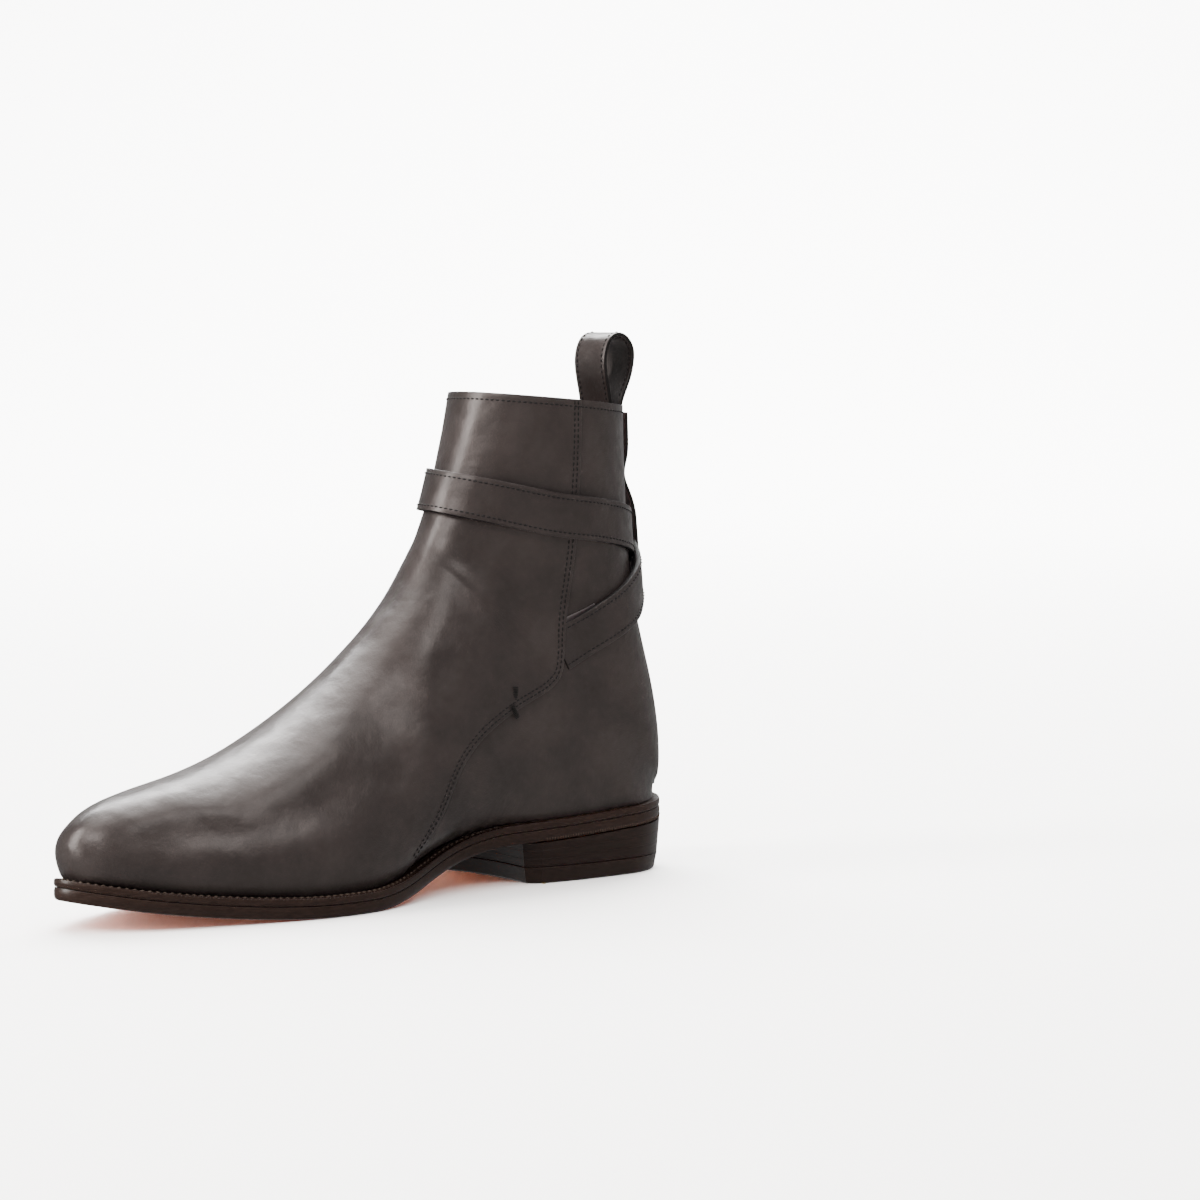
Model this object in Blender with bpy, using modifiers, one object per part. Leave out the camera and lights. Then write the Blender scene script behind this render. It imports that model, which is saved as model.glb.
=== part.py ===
"""Jodhpur boot for the right foot, as an assembly of separate pieces.

Run it with blender --background --python part.py, or from the text editor.
Lengths are metres and +Z is up. The toe points to -X and the inner side of the
foot faces -Y. The origin is on the floor under the middle of the heel tread.
Inside this file a place on the boot is (along, inner, up): along runs forward
from the back of the heel, inner runs towards the inner side of the foot.
"""

import math

import bmesh
import bpy
import numpy as np
from mathutils import Matrix, Vector
from mathutils.bvhtree import BVHTree

NAME = "jodhpur_boot"

# Driving sizes
SOLE_LENGTH = 0.305
BALL_WIDTH = 0.0965
BOOT_HEIGHT = 0.205
HEEL_HEIGHT = 0.0225
TOP_PIECE = 0.007
OUTSOLE = 0.005
WELT = 0.003
TOE_SPRING = 0.012
WALL = 0.0024
PANEL_STEP = 0.0012
INSOLE = 0.004
GAP = 0.0003

# The sole
HEEL_ROUND = 0.036
TOE_ROUND = 0.030
SEAT_SLOPE = 0.056
SEAT_END = 0.31
BALL_FLAT = (0.605, 0.66)
HEEL_BREAST = 0.0895
BREAST_HOLLOW = 0.0045
CORNER_CUT = 0.006
HEEL_TAPER = 0.0012
FEATHER_INSET = (0.003, 0.007)
INSET_BLEND = (0.25, 0.5)
WELT_SHELF = 0.0022
INSOLE_EASE = 0.0014
ORIGIN_ALONG = 0.040
BREAST_STEPS = 8
RUBBER_SHARES = (0.17, 0.51)

# The front panel: its rear edge on each side, from the welt up to the collar, as
# shares of the sole length and of the boot height.
SEAM_INNER = (
    (0.545, 0.000), (0.502, 0.105), (0.470, 0.163), (0.437, 0.242), (0.397, 0.303),
    (0.362, 0.335), (0.329, 0.358), (0.278, 0.387), (0.246, 0.415), (0.232, 0.465),
    (0.226, 0.534), (0.217, 0.631), (0.210, 0.760), (0.205, 0.880), (0.203, 1.05))
SEAM_OUTER = (
    (0.540, 0.000), (0.555, 0.105), (0.550, 0.240), (0.508, 0.322), (0.464, 0.397),
    (0.419, 0.415), (0.381, 0.432), (0.331, 0.458), (0.273, 0.471), (0.262, 0.541),
    (0.249, 0.613), (0.240, 0.677), (0.228, 0.740), (0.212, 0.830), (0.203, 1.05))
PANEL_RISE = 0.004
PANEL_EDGE = (0.004, 0.0)
PANEL_EASE = (0.014, 0.005)

# Straps. A round the leg route has, for each station, the angle round the leg in
# degrees (0 is forward, 90 the inner side), the height as a share of the boot
# height, and how many other straps it lies over.
STRAP = 0.0022
STRAP_WIDTH = 0.018
STRAP_GAP = 0.0006
STRAP_SLACK = 0.0009
STRAP_ACROSS = 4
STRAP_STEP = 0.0045
FINE_STEPS = 400
TIP_NARROWEST = 0.3
LEG_AXIS = 0.060
LEG_STEPS = (3, 20)
ROUTE_COLUMNS = ("angle", "up", "over")
FRONT_STRAP = (
    (-58, 0.504, 0), (-76, 0.519, 0), (-100, 0.538, 0), (-122, 0.575, 0), (-144, 0.615, 0),
    (-180, 0.673, 0), (-216, 0.713, 0), (-260, 0.739, 0), (-303, 0.756, 0), (-336, 0.780, 0),
    (-360, 0.795, 0), (-378, 0.797, 0), (-392, 0.793, 0.15), (-404, 0.789, 0.9),
    (-412, 0.786, 1), (-432, 0.777, 1), (-468, 0.756, 1), (-486, 0.743, 1), (-497, 0.735, 1))
BUCKLE_STRAP = (
    (68, 0.474, 0), (88, 0.500, 0), (113, 0.537, 0), (128, 0.561, 0), (140, 0.583, 0.3),
    (150, 0.605, 1), (164, 0.636, 1), (180, 0.673, 1), (196, 0.705, 1), (207, 0.7215, 1),
    (217, 0.7345, 0.1), (232, 0.749, 0), (252, 0.765, 0), (272, 0.779, 0), (292, 0.788, 0))

# Back stay: heights as shares of the back seam from the welt up to the collar, half
# width as a share of the strap's width, and how many straps or tapes it lies over.
STAY = 0.0014
STAY_COLUMNS = ("up", "half", "lift")
STAY_ROWS = (
    (0.018, 0.72, 0.15), (0.085, 0.72, 0.1), (0.183, 0.72, 0.0), (0.367, 0.70, 0.0),
    (0.459, 0.69, 0.0), (0.495, 0.685, 1.0), (0.550, 0.68, 2.0), (0.636, 0.67, 2.0),
    (0.734, 0.66, 2.0), (0.789, 0.655, 1.0), (0.820, 0.65, 0.0), (0.838, 0.64, 0.0),
    (0.869, 0.635, 1.05), (0.942, 0.63, 1.05), (0.985, 0.62, 1.05))

# Pull loop: behind is how far the tape's middle lies behind the upper's back, up
# its height above the collar's back, and bend how much it follows the leg's curve.
LOOP = 0.0016
LOOP_WIDTH = 0.019
LOOP_COLUMNS = ("behind", "up", "bend")
LOOP_HEIGHT = 0.030
LOOP_ROWS = (
    (0.042, -0.64, 1.0), (0.042, -0.36, 1.0), (0.045, -0.12, 1.0), (0.10, 0.13, 0.8),
    (0.21, 0.40, 0.4), (0.27, 0.66, 0.2), (0.25, 0.85, 0.1), (0.13, 0.99, 0.0),
    (-0.03, 1.03, 0.0), (-0.18, 0.95, 0.0), (-0.26, 0.76, 0.1), (-0.26, 0.54, 0.2),
    (-0.20, 0.30, 0.5), (-0.14, 0.08, 0.9), (-0.125, -0.14, 1.0), (-0.125, -0.36, 1.0),
    (-0.125, -0.55, 1.0))

# Buckle
BUCKLE_LONG = 0.0205
BUCKLE_WIDE = 0.0255
BUCKLE_BAR = 0.0027
BUCKLE_THICK = 0.0028
BUCKLE_ANGLE = -437
BUCKLE_EDGE = 0.0006
BUCKLE_CLEAR = 0.0009
PRONG = 0.0017
PRONG_HOLE = 0.0038
PRONG_SLIT = -0.234
PRONG_EYE = 0.156
PRONG_PATH = (
    (-0.52, 0.91), (-0.35, 0.91), (-0.244, 0.43), (-0.220, -0.56), (-0.160, -0.92),
    (0.045, -0.92), (0.141, -0.18), (0.19, 0.68), (0.34, 0.93))
ARCH = 0.0034
ARCH_SHARE = 0.39

# Outline of the sole: share of the length, then the half widths on the inner and
# outer side as shares of the ball width. The round ends are put on afterwards.
OUTLINE = (
    (0.00, 0.373, 0.378), (0.131, 0.373, 0.378), (0.197, 0.366, 0.392),
    (0.262, 0.338, 0.408), (0.328, 0.290, 0.420), (0.393, 0.270, 0.437),
    (0.459, 0.318, 0.474), (0.525, 0.403, 0.511), (0.590, 0.464, 0.528),
    (0.639, 0.480, 0.521), (0.705, 0.460, 0.486), (0.770, 0.412, 0.424),
    (0.836, 0.352, 0.345), (0.902, 0.292, 0.258), (0.951, 0.246, 0.195),
    (1.00, 0.207, 0.160))

# Ribs of the upper, from the front of the toe round under the heel and up to the
# collar. Each rib runs from a point of the ridge down to a point of the lower path.
# ridge_along and low_along are shares of the sole length, ridge_up and low_up of
# the boot height; low_up is None where the rib lands on the feather line. shift is
# how far the ridge lies to the inner side. inner and outer are the fullest half
# widths. These three are shares of the ball width. peak is how far along the rib, from
# its lower end, it is fullest. front and back say how blunt the rib is at the ridge
# and at its lower end, 1 being round and less being fuller.
RIB_COLUMNS = ("ridge_along", "ridge_up", "low_along", "low_up",
               "shift", "inner", "outer", "peak", "front", "back")
RIBS = (
    (0.9875, 0.163, 0.9875, 0.144, 0.004, 0.035, 0.030, 0.50, 0.95, 0.95),
    (0.9813, 0.183, 0.9836, 0.120, 0.008, 0.085, 0.072, 0.46, 0.92, 0.95),
    (0.9689, 0.201, 0.9770, None, 0.012, 0.132, 0.103, 0.42, 0.88, 0.95),
    (0.9459, 0.2215, 0.9590, None, 0.016, 0.182, 0.144, 0.39, 0.86, 0.95),
    (0.9115, 0.2386, 0.9213, None, 0.020, 0.237, 0.200, 0.37, 0.87, 0.95),
    (0.8640, 0.2530, 0.8670, None, 0.022, 0.291, 0.276, 0.36, 0.89, 0.95),
    (0.8080, 0.2690, 0.8100, None, 0.022, 0.345, 0.345, 0.35, 0.91, 0.95),
    (0.7490, 0.2930, 0.7500, None, 0.024, 0.393, 0.400, 0.34, 0.93, 0.95),
    (0.6920, 0.3250, 0.6900, None, 0.027, 0.424, 0.446, 0.33, 0.95, 0.95),
    (0.6360, 0.3670, 0.6300, None, 0.030, 0.433, 0.470, 0.32, 0.97, 0.95),
    (0.5820, 0.4180, 0.5700, None, 0.030, 0.420, 0.466, 0.31, 0.98, 0.95),
    (0.5295, 0.4750, 0.5100, None, 0.029, 0.396, 0.448, 0.31, 0.98, 0.95),
    (0.4852, 0.5330, 0.4450, None, 0.026, 0.373, 0.425, 0.31, 0.97, 0.95),
    (0.4547, 0.5796, 0.3700, None, 0.020, 0.360, 0.403, 0.33, 0.95, 0.95),
    (0.4350, 0.6150, 0.2850, None, 0.014, 0.353, 0.386, 0.38, 0.93, 0.95),
    (0.4213, 0.6430, 0.2000, None, 0.008, 0.350, 0.373, 0.45, 0.92, 0.97),
    (0.4108, 0.6660, 0.1150, None, 0.004, 0.350, 0.365, 0.48, 0.91, 1.00),
    (0.4026, 0.6850, 0.0480, None, 0.000, 0.350, 0.360, 0.38, 0.90, 1.02),
    (0.3955, 0.7034, 0.0100, None, 0.000, 0.350, 0.358, 0.33, 0.90, 1.00),
    (0.3870, 0.7290, 0.0020, 0.190, 0.000, 0.350, 0.356, 0.32, 0.90, 1.00),
    (0.3770, 0.7610, 0.0055, 0.282, 0.000, 0.347, 0.352, 0.33, 0.90, 1.02),
    (0.3660, 0.7985, 0.0200, 0.390, 0.000, 0.343, 0.347, 0.36, 0.91, 1.04),
    (0.3550, 0.8400, 0.0390, 0.505, 0.000, 0.338, 0.341, 0.40, 0.92, 1.04),
    (0.3450, 0.8810, 0.0510, 0.620, 0.000, 0.334, 0.336, 0.43, 0.93, 1.02),
    (0.3360, 0.9220, 0.0575, 0.735, 0.000, 0.331, 0.332, 0.45, 0.94, 0.99),
    (0.3280, 0.9610, 0.0610, 0.850, 0.000, 0.328, 0.329, 0.47, 0.95, 0.96),
    (0.3205, 1.0000, 0.0630, 0.966, 0.000, 0.326, 0.326, 0.48, 0.95, 0.95))
TOE_ROW = 2
HEEL_ROW = 18
RIB_STEPS = 2
SIDE_STEPS = 12
FULLEST_LOW = 0.97
CROWD_ROWS = 4


def spline(knots, values):
    """Return the natural cubic curve through the given values as a function."""
    knots = np.asarray(knots, float)
    values = np.asarray(values, float)
    gaps = np.diff(knots)
    slopes = np.diff(values) / gaps
    count = len(knots)
    matrix = np.eye(count)
    right = np.zeros(count)
    for i in range(1, count - 1):
        matrix[i, i - 1:i + 2] = gaps[i - 1], 2 * (gaps[i - 1] + gaps[i]), gaps[i]
        right[i] = 6 * (slopes[i] - slopes[i - 1])
    bend = np.linalg.solve(matrix, right)

    def curve(x):
        i = np.clip(np.searchsorted(knots, x) - 1, 0, count - 2)
        near = (knots[i + 1] - x) / gaps[i]
        far = (x - knots[i]) / gaps[i]
        cubic = (near ** 3 - near) * bend[i] + (far ** 3 - far) * bend[i + 1]
        return near * values[i] + far * values[i + 1] + cubic * gaps[i] ** 2 / 6

    return curve


def ease(x, start, end):
    """Rise smoothly from 0 at start to 1 at end."""
    t = min(max((x - start) / (end - start), 0.0), 1.0)
    return t * t * (3 - 2 * t)


def place(along, inner, up):
    """Turn a place on the boot into world coordinates."""
    return Vector((ORIGIN_ALONG - along, -inner, up))


def sole_under(along):
    """Height of the outsole's underside: heel seat, waist, flat ball, toe spring."""
    seat_end = SEAT_END * SOLE_LENGTH
    ball_start = BALL_FLAT[0] * SOLE_LENGTH
    ball_end = BALL_FLAT[1] * SOLE_LENGTH
    if along <= seat_end:
        return HEEL_HEIGHT - SEAT_SLOPE * along
    if along < ball_start:
        run = ball_start - seat_end
        t = (along - seat_end) / run
        level = HEEL_HEIGHT - SEAT_SLOPE * seat_end
        return (2 * t ** 3 - 3 * t ** 2 + 1) * level - (t ** 3 - 2 * t ** 2 + t) * run * SEAT_SLOPE
    if along <= ball_end:
        return 0.0
    return TOE_SPRING * ((along - ball_end) / (SOLE_LENGTH - ball_end)) ** 1.8


def welt_top(along):
    return sole_under(along) + OUTSOLE + GAP + WELT


OUTLINE_INNER = spline([row[0] for row in OUTLINE], [row[1] for row in OUTLINE])
OUTLINE_OUTER = spline([row[0] for row in OUTLINE], [row[2] for row in OUTLINE])


def round_end(distance, radius):
    """Share of the full width at a distance from a round end."""
    rest = 1 - min(distance, radius) / radius
    return math.sqrt(max(1 - rest * rest, 0.0))


def half_width(along, side):
    """Half width of the sole: side 1 is the inner side, -1 the outer side."""
    curve = OUTLINE_INNER if side > 0 else OUTLINE_OUTER
    heel = round_end(along, HEEL_ROUND)
    toe = round_end(SOLE_LENGTH - along, TOE_ROUND)
    return float(curve(along / SOLE_LENGTH)) * BALL_WIDTH * heel * toe


def stations(arc_steps, middle_steps):
    """Places along the sole, close together in its round ends."""
    turn = [math.pi / 2 * i / arc_steps for i in range(arc_steps)]
    heel = [HEEL_ROUND * (1 - math.cos(t)) for t in turn]
    toe = [SOLE_LENGTH - TOE_ROUND * (1 - math.cos(t)) for t in reversed(turn)]
    start, end = HEEL_ROUND, SOLE_LENGTH - TOE_ROUND
    middle = [start + (end - start) * i / middle_steps for i in range(middle_steps + 1)]
    return heel + middle + toe


def edge_line(side, inset, arc_steps=6, middle_steps=18):
    """One side of the sole's outline, moved in by inset(along), heel to toe."""
    line = [(a, side * half_width(a, side)) for a in stations(arc_steps, middle_steps)]
    moved = []
    for i, (along, inner) in enumerate(line):
        before = line[i - 1] if i else (line[1][0], -line[1][1])
        after = line[i + 1] if i + 1 < len(line) else (line[-2][0], -line[-2][1])
        step = Vector((after[0] - before[0], after[1] - before[1])).normalized()
        normal = Vector((step.y, -step.x)) * side
        amount = inset(along)
        moved.append((along + normal.x * amount, inner + normal.y * amount))
    return moved


def flat_inset(amount):
    return lambda along: amount


def feather_inset(extra=0.0):
    """Inset of the feather line, less at the heel than in the forefoot."""
    def inset(along):
        share = ease(along, INSET_BLEND[0] * SOLE_LENGTH, INSET_BLEND[1] * SOLE_LENGTH)
        return FEATHER_INSET[0] + (FEATHER_INSET[1] - FEATHER_INSET[0]) * share + extra
    return inset


FEATHER = {side: np.array(edge_line(side, feather_inset(), 24, 60)) for side in (1, -1)}


def feather_half(along, side):
    line = FEATHER[side]
    return float(np.interp(along, line[:, 0], side * line[:, 1]))


RIB_CURVES = {}
for column, label in enumerate(RIB_COLUMNS):
    if label != "low_up":
        RIB_CURVES[label] = spline(range(len(RIBS)), [row[column] for row in RIBS])
FEATHER_BACK = float(FEATHER[1][0, 0])
FEATHER_FRONT = float(FEATHER[1][-1, 0])
BACK_UP = spline(range(HEEL_ROW, len(RIBS)),
                 [(welt_top(FEATHER_BACK) + GAP) / BOOT_HEIGHT] + [row[3] for row in RIBS[HEEL_ROW + 1:]])
TOE_UP = spline(range(TOE_ROW + 1),
                [row[3] for row in RIBS[:TOE_ROW]] + [(welt_top(FEATHER_FRONT) + GAP) / BOOT_HEIGHT])


def rib_low(u):
    """Lower end of rib u: its along, its up, and whether it is on the feather line."""
    if u <= TOE_ROW:
        pole = RIBS[0][2] * SOLE_LENGTH
        share = u / TOE_ROW
        along = pole + (FEATHER_FRONT - pole) * share ** 2
        return along, float(TOE_UP(u)) * BOOT_HEIGHT, False
    along = float(RIB_CURVES["low_along"](u)) * SOLE_LENGTH
    if u < HEEL_ROW:
        along = min(max(along, FEATHER_BACK), FEATHER_FRONT)
        return along, welt_top(along) + GAP, True
    return along, float(BACK_UP(u)) * BOOT_HEIGHT, False


def rib_reach(u, v):
    """How far down rib u the step v lies, 1 being its lower end and 0 the ridge.

    The steps crowd at the ridge, and at the lower end where the rib closes there.
    """
    rows_in = min(u - TOE_ROW, HEEL_ROW - u)
    crowd = 1 - ease(rows_in, 0, CROWD_ROWS)
    both_ends = (1 + math.cos(math.pi * v)) / 2
    ridge_only = 1 - math.sin(math.pi * v / 2)
    return crowd * both_ends + (1 - crowd) * ridge_only


def upper_point(u, v, side):
    """Point of the upper's outer face: v is 0 at the lower path and 1 at the ridge."""
    row = {label: float(curve(u)) for label, curve in RIB_CURVES.items()}
    ridge = np.array([row["ridge_along"] * SOLE_LENGTH, row["ridge_up"] * BOOT_HEIGHT])
    along, up, on_feather = rib_low(u)
    low = np.array([along, up])
    shift = row["shift"] * BALL_WIDTH * (1 if on_feather else ease(v, 0, 1))
    fullest = row["inner" if side > 0 else "outer"] * BALL_WIDTH
    skew = math.log(row["peak"]) / math.log(0.5)
    low_power = row["back"] * skew
    start = 0.0
    if on_feather:
        ratio = (feather_half(along, side) - side * shift) / (fullest - side * shift)
        share = min(max(ratio, 0.0), FULLEST_LOW, 1.0)
        angle = math.asin(share ** (1 / low_power))
        start = ((1 - math.cos(angle)) / 2) ** skew
    reach = rib_reach(u, v)
    share = 1 - reach * (1 - start)
    angle = math.acos(1 - 2 * share ** (1 / skew))
    power = low_power + (row["front"] - low_power) * ease(1 - reach, 0, 1)
    spot = ridge + (low - ridge) * reach
    swell = max(math.sin(angle), 0.0) ** power
    return place(spot[0], shift * (1 - swell) + side * fullest * swell, spot[1])


def upper_rows(rib_steps, side_steps):
    """Points of the upper's outer face, a row for each rib, round from side to side."""
    rows = []
    for step in range((len(RIBS) - 1) * rib_steps + 1):
        u = step / rib_steps
        inner = [upper_point(u, i / side_steps, 1) for i in range(side_steps + 1)]
        outer = [upper_point(u, i / side_steps, -1) for i in range(side_steps)]
        rows.append((rib_low(u)[2], inner + outer[::-1]))
    return rows


def upper_skin(rib_steps=RIB_STEPS, side_steps=SIDE_STEPS):
    """Open surface of the upper: a grid of ribs closed by a small fan at the toe."""
    mesh = bmesh.new()
    grid = []
    for on_feather, row in upper_rows(rib_steps, side_steps):
        verts = [mesh.verts.new(p) for p in (row if on_feather else row[:-1])]
        grid.append(verts if on_feather else verts + [verts[0]])
    for row, following in zip(grid, grid[1:]):
        for i in range(2 * side_steps):
            corners = [row[i], following[i], following[i + 1], row[i + 1]]
            mesh.faces.new([c for k, c in enumerate(corners) if c not in corners[:k]])
    first = grid[0][:-1]
    pole = mesh.verts.new(sum((v.co for v in first), Vector()) / len(first))
    for a, b in zip(grid[0], grid[0][1:]):
        mesh.faces.new((pole, a, b))
    return mesh


def finish(name, mesh, paint, smooth=35):
    """Make an object of a mesh in the boot's collection, with its material."""
    data = bpy.data.meshes.new(name)
    mesh.to_mesh(data)
    mesh.free()
    data.materials.append(paint)
    data.shade_smooth()
    data.set_sharp_from_angle(angle=math.radians(smooth))
    piece = bpy.data.objects.new(name, data)
    bpy.data.collections[NAME].objects.link(piece)
    return piece


def cutter(name, mesh):
    """Make an object that only cuts others: drawn as wire and never rendered."""
    data = bpy.data.meshes.new(name)
    mesh.to_mesh(data)
    mesh.free()
    piece = bpy.data.objects.new(name, data)
    piece.hide_render = True
    piece.display_type = "WIRE"
    bpy.data.collections["cutters"].objects.link(piece)
    return piece


def boolean(piece, other, operation):
    step = piece.modifiers.new(operation.lower(), "BOOLEAN")
    step.object = other
    step.operation = operation
    step.solver = "EXACT"


def solidify(piece, thickness, offset):
    """Thicken an open surface: offset -1 is inwards, 1 outwards."""
    step = piece.modifiers.new("thickness", "SOLIDIFY")
    step.thickness = thickness
    step.offset = offset
    step.use_even_offset = True


def material(name, colour, roughness, metallic=0.0):
    made = bpy.data.materials.new(name)
    made.use_nodes = True
    shader = made.node_tree.nodes["Principled BSDF"]
    shader.inputs["Base Color"].default_value = (*colour, 1.0)
    shader.inputs["Roughness"].default_value = roughness
    shader.inputs["Metallic"].default_value = metallic
    made.diffuse_color = (*colour, 1.0)
    return made


def face_out(mesh):
    """Turn the faces of a closed solid outwards."""
    bmesh.ops.recalc_face_normals(mesh, faces=mesh.faces)
    if mesh.calc_volume(signed=True) < 0:
        bmesh.ops.reverse_faces(mesh, faces=mesh.faces)


def bridge(mesh, near, far):
    """Faces between two closed loops with as many points each."""
    for i in range(len(near)):
        j = (i + 1) % len(near)
        mesh.faces.new((near[i], near[j], far[j], far[i]))


def loft(outlines):
    """Closed solid through outlines in order, each a list of places, with flat ends."""
    mesh = bmesh.new()
    loops = [[mesh.verts.new(place(*spot)) for spot in outline] for outline in outlines]
    for near, far in zip(loops, loops[1:]):
        bridge(mesh, near, far)
    mesh.faces.new(loops[0][::-1])
    mesh.faces.new(loops[-1])
    face_out(mesh)
    return mesh


def closed_line(inset):
    """The sole's outline moved in by inset, once round."""
    inner = edge_line(1, inset)
    outer = edge_line(-1, inset)
    return inner + outer[-2:0:-1]


def plate(name, inset, low, high, paint):
    """A plate with the sole's outline moved in by inset, between two heights."""
    mesh = bmesh.new()
    line = closed_line(inset)
    layers = [[mesh.verts.new(place(a, b, height(a))) for a, b in line]
              for height in (low, high)]
    bridge(mesh, layers[0], layers[1])
    half = len(line) // 2
    for loop in layers:
        for i in range(half):
            across = [loop[i], loop[i + 1], loop[-i - 1], loop[-i]]
            mesh.faces.new([v for k, v in enumerate(across) if v not in across[:k]])
    face_out(mesh)
    return finish(name, mesh, paint)


def make_welt(paint):
    """A ring between the outsole and the upper, open where the insole lies."""
    mesh = bmesh.new()
    corners = ((flat_inset(0.0), GAP), (flat_inset(0.0), GAP + WELT),
               (feather_inset(WELT_SHELF), GAP + WELT), (feather_inset(WELT_SHELF), GAP))
    loops = [[mesh.verts.new(place(a, b, sole_under(a) + OUTSOLE + lift))
              for a, b in closed_line(inset)] for inset, lift in corners]
    for k in range(4):
        bridge(mesh, loops[k], loops[(k + 1) % 4])
    face_out(mesh)
    finish("welt", mesh, paint)


def heel_outline():
    """Outline of the heel: round behind, a cut inner corner and a hollow breast."""
    sides = {}
    for side in (1, -1):
        corner = HEEL_BREAST - (CORNER_CUT if side > 0 else 0.0)
        line = [p for p in edge_line(side, flat_inset(0.0), 8, 24) if p[0] < corner - CORNER_CUT / 2]
        sides[side] = line + [(corner, side * half_width(corner, side))]
    start = sides[1][-1][1] - CORNER_CUT
    end = sides[-1][-1][1]
    breast = []
    for i in range(BREAST_STEPS):
        share = i / BREAST_STEPS
        hollow = BREAST_HOLLOW * math.sin(math.pi * share)
        breast.append((HEEL_BREAST - hollow, start + (end - start) * share))
    return sides[1] + breast + sides[-1][:0:-1]


def shrink(outline, amount):
    """Move an outline inwards by an amount, each corner along its own bisector."""
    moved = []
    for i, spot in enumerate(outline):
        before = Vector(spot) - Vector(outline[i - 1])
        after = Vector(outline[(i + 1) % len(outline)]) - Vector(spot)
        normals = [Vector((step.y, -step.x)).normalized() for step in (before, after)]
        bisector = (normals[0] + normals[1]).normalized()
        moved.append(tuple(Vector(spot) + bisector * amount / bisector.dot(normals[0])))
    return moved


def heel_layer(low, high, insets):
    """One layer of the heel between two heights, with an inset at each."""
    outline = heel_outline()
    return loft([[(a, b, height(a)) for a, b in shrink(outline, inset)]
                 for height, inset in zip((low, high), insets)])


def slice_off(mesh, spot, direction):
    """Cut away what lies beyond an upright plane and close the cut."""
    parts = mesh.verts[:] + mesh.edges[:] + mesh.faces[:]
    normal = place(*direction, 0.0) - place(0.0, 0.0, 0.0)
    cut = bmesh.ops.bisect_plane(mesh, geom=parts, plane_co=place(*spot, 0.0), plane_no=normal,
                                 clear_outer=True)
    edges = [part for part in cut["geom_cut"] if isinstance(part, bmesh.types.BMEdge)]
    bmesh.ops.contextual_create(mesh, geom=edges)
    face_out(mesh)


def make_heel(dark, leather, rubber):
    """The stack, and the top piece with its rubber corner at the outer back."""
    stack = heel_layer(lambda a: TOP_PIECE + GAP, lambda a: sole_under(a) - GAP,
                       (HEEL_TAPER, 0.0))
    finish("heel_stack", stack, dark)
    inner = Vector((RUBBER_SHARES[0] * HEEL_BREAST, half_width(HEEL_BREAST, 1)))
    outer = Vector((RUBBER_SHARES[1] * HEEL_BREAST, -half_width(HEEL_BREAST, -1)))
    back = Vector((inner.y - outer.y, outer.x - inner.x)).normalized() * -1
    for name, paint, out, spot in (("heel_top_piece", leather, back, inner),
                                   ("heel_rubber_tip", rubber, -back, inner + back * GAP)):
        layer = heel_layer(lambda a: 0.0, lambda a: TOP_PIECE, (2 * HEEL_TAPER, HEEL_TAPER))
        slice_off(layer, spot, out)
        finish(name, layer, paint)


def panel_share(along, inner, up, ramp):
    """1 on the front panel, easing to 0 behind its rear edge over the ramp."""
    seam = np.array(SEAM_INNER if inner > 0 else SEAM_OUTER)
    edge = float(np.interp(up, seam[:, 1] * BOOT_HEIGHT, seam[:, 0] * SOLE_LENGTH))
    return ease(along, edge - ramp[0], edge - ramp[1])


def make_upper(paint):
    """The hollow upper: its wall steps out where the front panel laps the quarters."""
    skin = upper_skin()
    skin.normal_update()
    shares = []
    for vert in skin.verts:
        along = ORIGIN_ALONG - vert.co.x
        above = vert.co.z - welt_top(min(max(along, 0.0), SOLE_LENGTH)) - GAP
        share = panel_share(along, -vert.co.y, vert.co.z, PANEL_EDGE)
        shares.append(share * ease(above, 0.0, PANEL_RISE))
    moves = [vert.normal * PANEL_STEP * share for vert, share in zip(skin.verts, shares)]
    for vert, move in zip(skin.verts, moves):
        vert.co += move
    upper = finish("upper", skin, paint, 50)
    thickest = WALL + PANEL_STEP
    wall = upper.vertex_groups.new(name="wall")
    for index, share in enumerate(shares):
        wall.add([index], (WALL + PANEL_STEP * share) / thickest, "REPLACE")
    solidify(upper, thickest, -1)
    upper.modifiers["thickness"].vertex_group = wall.name


class Leg:
    """The upper's outer face as something that straps can be laid on."""

    def __init__(self):
        skin = upper_skin(*LEG_STEPS)
        skin.normal_update()
        self.tree = BVHTree.FromBMesh(skin)
        skin.free()

    def around(self, angle, up):
        """Where a level line from the leg's axis at an angle leaves the upper."""
        turn = math.radians(angle)
        start = place(LEG_AXIS, 0.0, up)
        out = place(math.cos(turn), math.sin(turn), 0.0) - place(0.0, 0.0, 0.0)
        return self.tree.ray_cast(start, out)[0]

    def behind(self, inner, up):
        """Place on the back of the upper at a distance to the inner side."""
        out = place(-1.0, 0.0, 0.0) - place(0.0, 0.0, 0.0)
        return self.tree.ray_cast(place(LEG_AXIS, inner, up), out)[0]

    def settle(self, point, lift):
        """The nearest place to a point at a lift off the upper, with its normal."""
        spot, normal = self.tree.find_nearest(point)[:2]
        share = panel_share(ORIGIN_ALONG - spot.x, -spot.y, spot.z, PANEL_EASE)
        return spot + normal * (lift + PANEL_STEP * share), normal


def run_length(points):
    steps = [(b - a).length for a, b in zip(points, points[1:])]
    return np.concatenate([[0.0], np.cumsum(steps)])


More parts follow.
